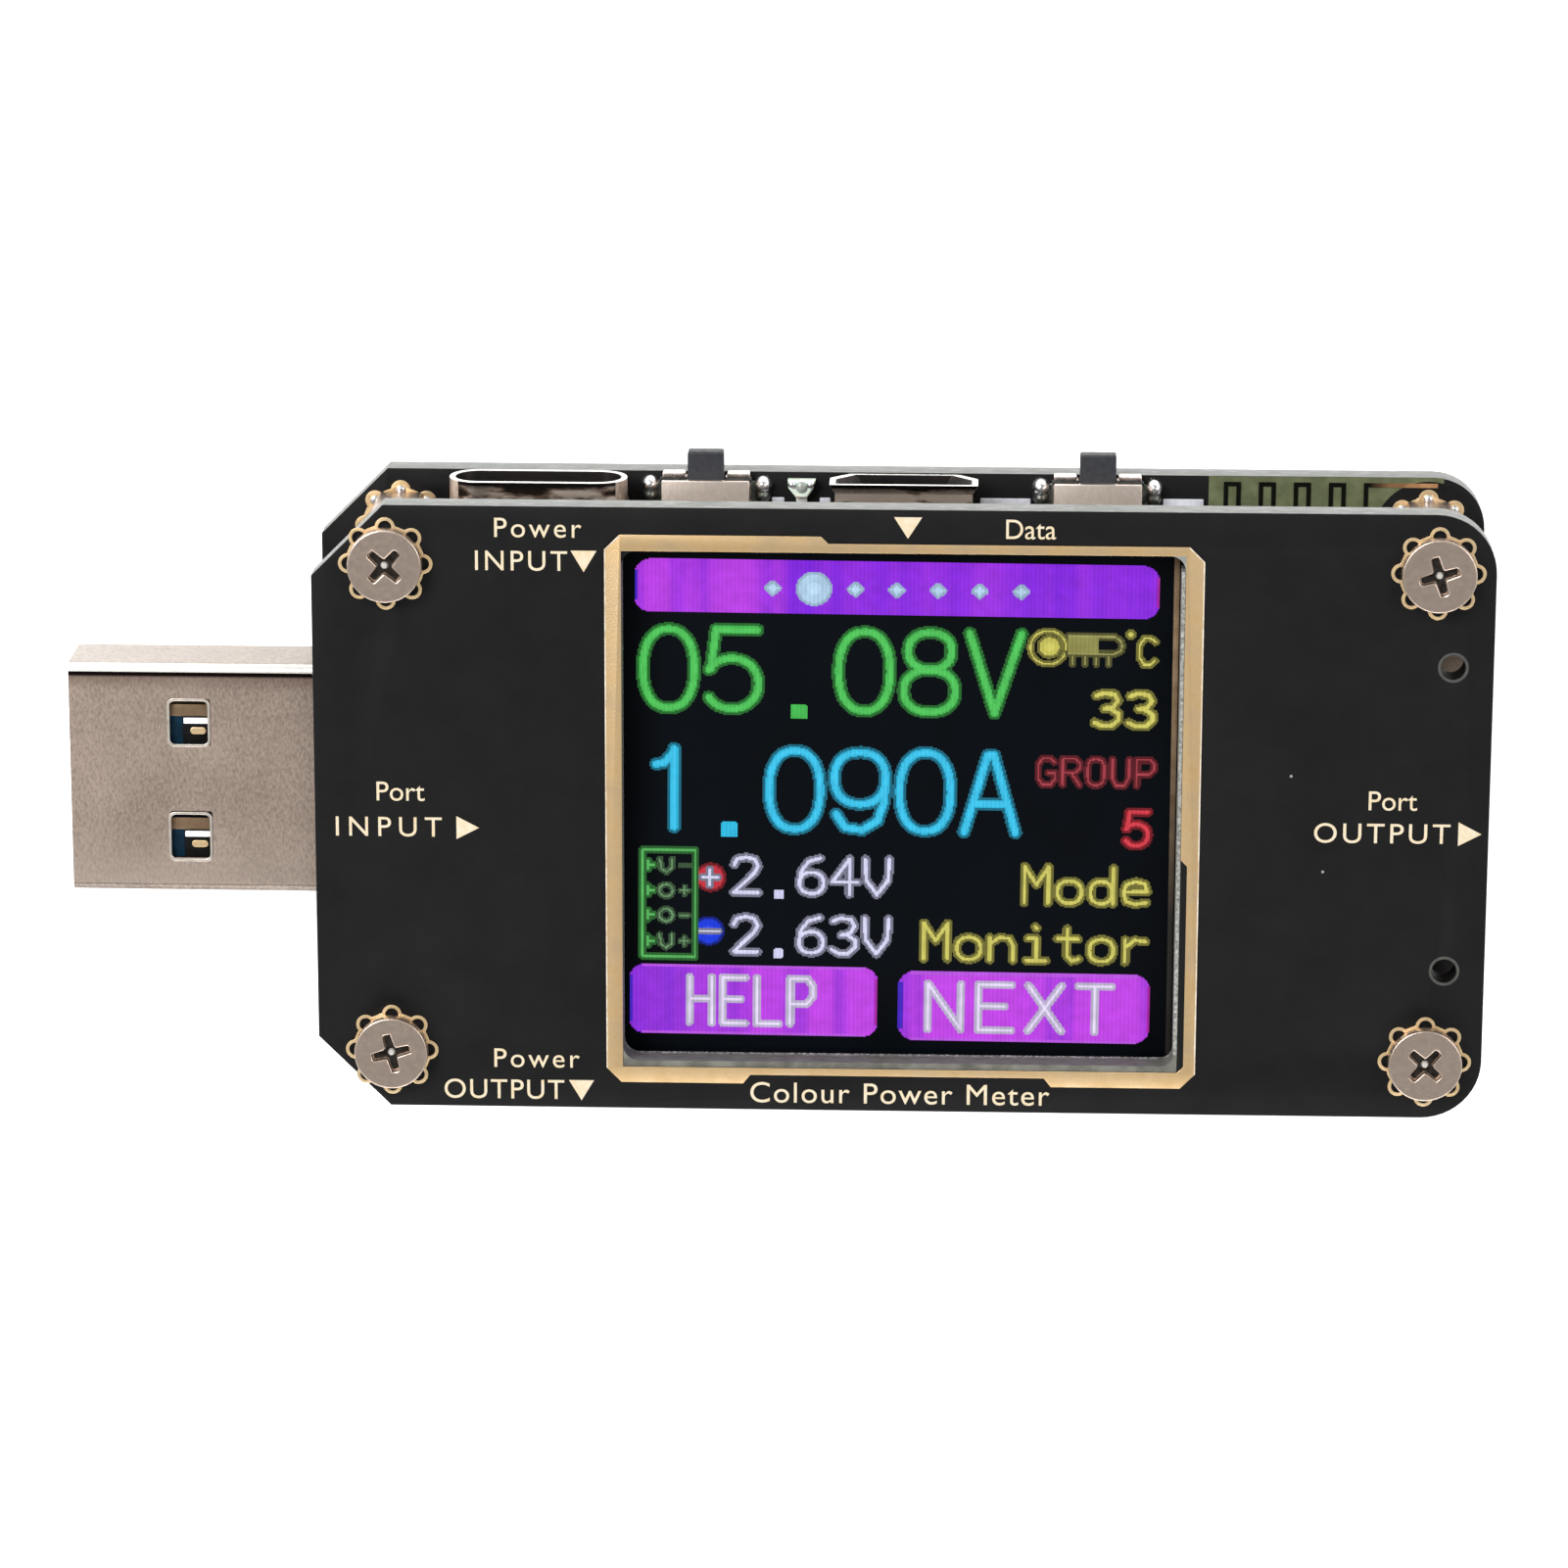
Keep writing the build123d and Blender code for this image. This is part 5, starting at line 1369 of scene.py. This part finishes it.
# The indicator holes' walls are painted shade.
refine("front_panel", 0.06, 2, [FINISH["board_black"], window_wall(), SHADE], panel_paint)
refine("main_board", 0.06, 2)
hole_rims()
window_corners()
window_lining()
trim_glints()
front_labels()
antenna_window()
screws("front_screws", CROSS_TURNS, 1)
screws("rear_screws", [turn + 20 for turn in CROSS_TURNS], -1)
for ring_node in ("front_pad_rings", "main_pad_rings_front", "main_pad_rings_rear"):
    refine(ring_node, 0.018, 2)
refine("window_trim", 0.018, 2, [TRIM_GOLD])
refine("standoffs", 0.12, 2)
PLUG_SHELL_PAINT = shell_paint("usb_a_plug_shell", Vector((-1, 0, 0)), 2.0, True)
SHELL = FINISH["connector_shell"]
refine("usb_a_plug_shell", 0.06, 3, [
    SHELL, LIP_HIGHLIGHT, SHADED_SHELL_INSIDE, plug_face(),
    sandy_nickel("plug_side", (0.33, 0.29, 0.26), (0.42, 0.375, 0.335)),
    sandy_nickel("plug_far_side_painted_shade", (0.15, 0.12, 0.10), (0.24, 0.20, 0.17))], plug_paint)
refine("usb_a_socket_shell", 0.06, 3, [SHELL, SHELL, SHADED_SHELL_INSIDE],
       shell_paint("usb_a_socket_shell", Vector((1, 0, 0))))
# These shells get painted reflections on top, a painted highlight on the lip and painted shade inside.
for shell, way, lip, reflection_shift in (("micro_usb_shell", 1, 0.85, 0.08), ("type_c_in_shell", 1, 0.7, 0.0),
                               ("type_c_out_shell", -1, 0.7, 0.0)):
    mouth_y = node_box(shell)[1 if way > 0 else 0].y
    shell_reflections = reflection_patched_shell(shell + "_painted_reflections", mouth_y, way, reflection_shift)
    refine(shell, 0.1, 3, [SHELL, LIP_HIGHLIGHT, SHADED_SHELL_INSIDE, shell_reflections],
           shell_paint(shell, Vector((0, way, 0)), lip, True))
plug_windows()
for core in ("usb_a_plug_insulator", "usb_a_socket_insulator", "micro_usb_insulator",
             "type_c_in_insulator", "type_c_out_insulator"):
    refine(core, 0.05, 2)
for place in SWITCHES:
    cover = place + "_switch_cover"
    refine(cover, 0.04, 2, [FINISH["switch_steel"], SOLDER_DARK_REFLECTION], cover_paint(cover))
    refine(place + "_switch_base", 0.05, 2)
    refine(place + "_switch_plunger", 0.06, 3, body=place + "_button")
for tray_part in ("display_tray", "display_tape", "display_driver_chip", "display_rear_glass",
                  "display_front_glass", "display_polariser"):
    refine(tray_part, 0.03, 2)
two_ended_parts("capacitors")
two_ended_parts("resistors")
two_ended_parts("shunt_resistors", 0.16)
for chip_node in ("microcontroller", "memory_chip", "radio_chip", "voltage_regulator"):
    moulded_chip(chip_node)
refine("crystal", 0.06, 2)
refine("indicator_lamps", 0.06, 2, [SHADED_INDICATOR_RESIN])
switch_details()
bright_pads()
edge_lamp()
via_details()
screen_picture()
film_edge()


# ---- stage -------------------------------------------------------------------------------------
def floor():
    """A plain pale floor that glows a little, as paper over a light does."""
    mesh = bpy.data.meshes.new("floor")
    work = bmesh.new()
    bmesh.ops.create_grid(work, x_segments=1, y_segments=1, size=1.5)
    work.to_mesh(mesh)
    work.free()
    piece = bpy.data.objects.new("floor", mesh)
    bpy.context.scene.collection.objects.link(piece)
    piece.location.z = -0.00002
    recipe = Recipe("floor_paper")
    cloud = recipe.noise(30.0, 2.0)
    recipe.set(Base_Color=recipe.tones(cloud, (0.93, 0.93, 0.93), (0.95, 0.95, 0.95)), Roughness=0.9,
               Specular_IOR_Level=0.1, Emission_Color=(1, 1, 1, 1), Emission_Strength=0.5)
    mesh.materials.append(recipe.material)
    piece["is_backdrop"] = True


def softbox(name, location, width, height, power):
    """A soft light that points at the middle of the floor."""
    data = bpy.data.lights.new(name, "AREA")
    data.shape = "RECTANGLE"
    data.size, data.size_y = width, height
    data.energy = power
    lamp = bpy.data.objects.new(name, data)
    bpy.context.scene.collection.objects.link(lamp)
    lamp.location = location
    lamp.rotation_mode = "QUATERNION"
    lamp.rotation_quaternion = (-Vector(location)).to_track_quat("-Z", "Y")


def sky():
    """A soft studio room: even and pale at the sides, dimmer overhead."""
    world = bpy.data.worlds.new("studio")
    bpy.context.scene.world = world
    world.use_nodes = True
    tree = world.node_tree
    coordinates = tree.nodes.new("ShaderNodeTexCoord")
    split = tree.nodes.new("ShaderNodeSeparateXYZ")
    tree.links.new(coordinates.outputs["Generated"], split.inputs[0])
    ramp = tree.nodes.new("ShaderNodeValToRGB")
    tree.links.new(split.outputs["Z"], ramp.inputs[0])
    for element, height, level in zip(ramp.color_ramp.elements, (0.15, 0.8), (1.0, 0.55)):
        element.position = height
        element.color = (level, level, level, 1.0)
    tree.links.new(ramp.outputs[0], tree.nodes["Background"].inputs[0])
    tree.nodes["Background"].inputs[1].default_value = 0.75


def camera():
    """Above the display, leaning 15 degrees towards the micro-USB edge."""
    lean = [Matrix.Rotation(math.radians(degrees), 3, axis)
            for degrees, axis in ((-0.139, "Z"), (15.01, "X"), (-1.865, "Y"))]
    turn = (lean[0] @ lean[1] @ lean[2]).transposed()
    offset = Vector((5.782, -1.5105, -312.47))           # the pivot as the camera sees it, millimetres
    pivot = Vector((6.4, 0.0, Z_PANEL))
    data = bpy.data.cameras.new("camera")
    data.sensor_width = 36.0
    data.lens = 144.25
    data.clip_start, data.clip_end = 0.01, 10.0
    eye = bpy.data.objects.new("camera", data)
    bpy.context.scene.collection.objects.link(eye)
    eye.matrix_world = Matrix.Translation((turn @ -offset + pivot) / METRE) @ turn.to_4x4()
    bpy.context.scene.camera = eye


floor()
sky()
softbox("key_light", (-0.4, 0.4, 0.5), 0.5, 0.4, 8.0)
softbox("fill_light", (0.5, 0.2, 0.4), 0.4, 0.4, 2.0)
softbox("front_light", (0.0, -0.5, 0.25), 0.6, 0.3, 2.5)
camera()
bpy.context.scene.view_settings.view_transform = "Standard"

as_list = lambda box: [list(corner) for corner in box]
{"cad": as_list(cad_box), "visual": as_list(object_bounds())}
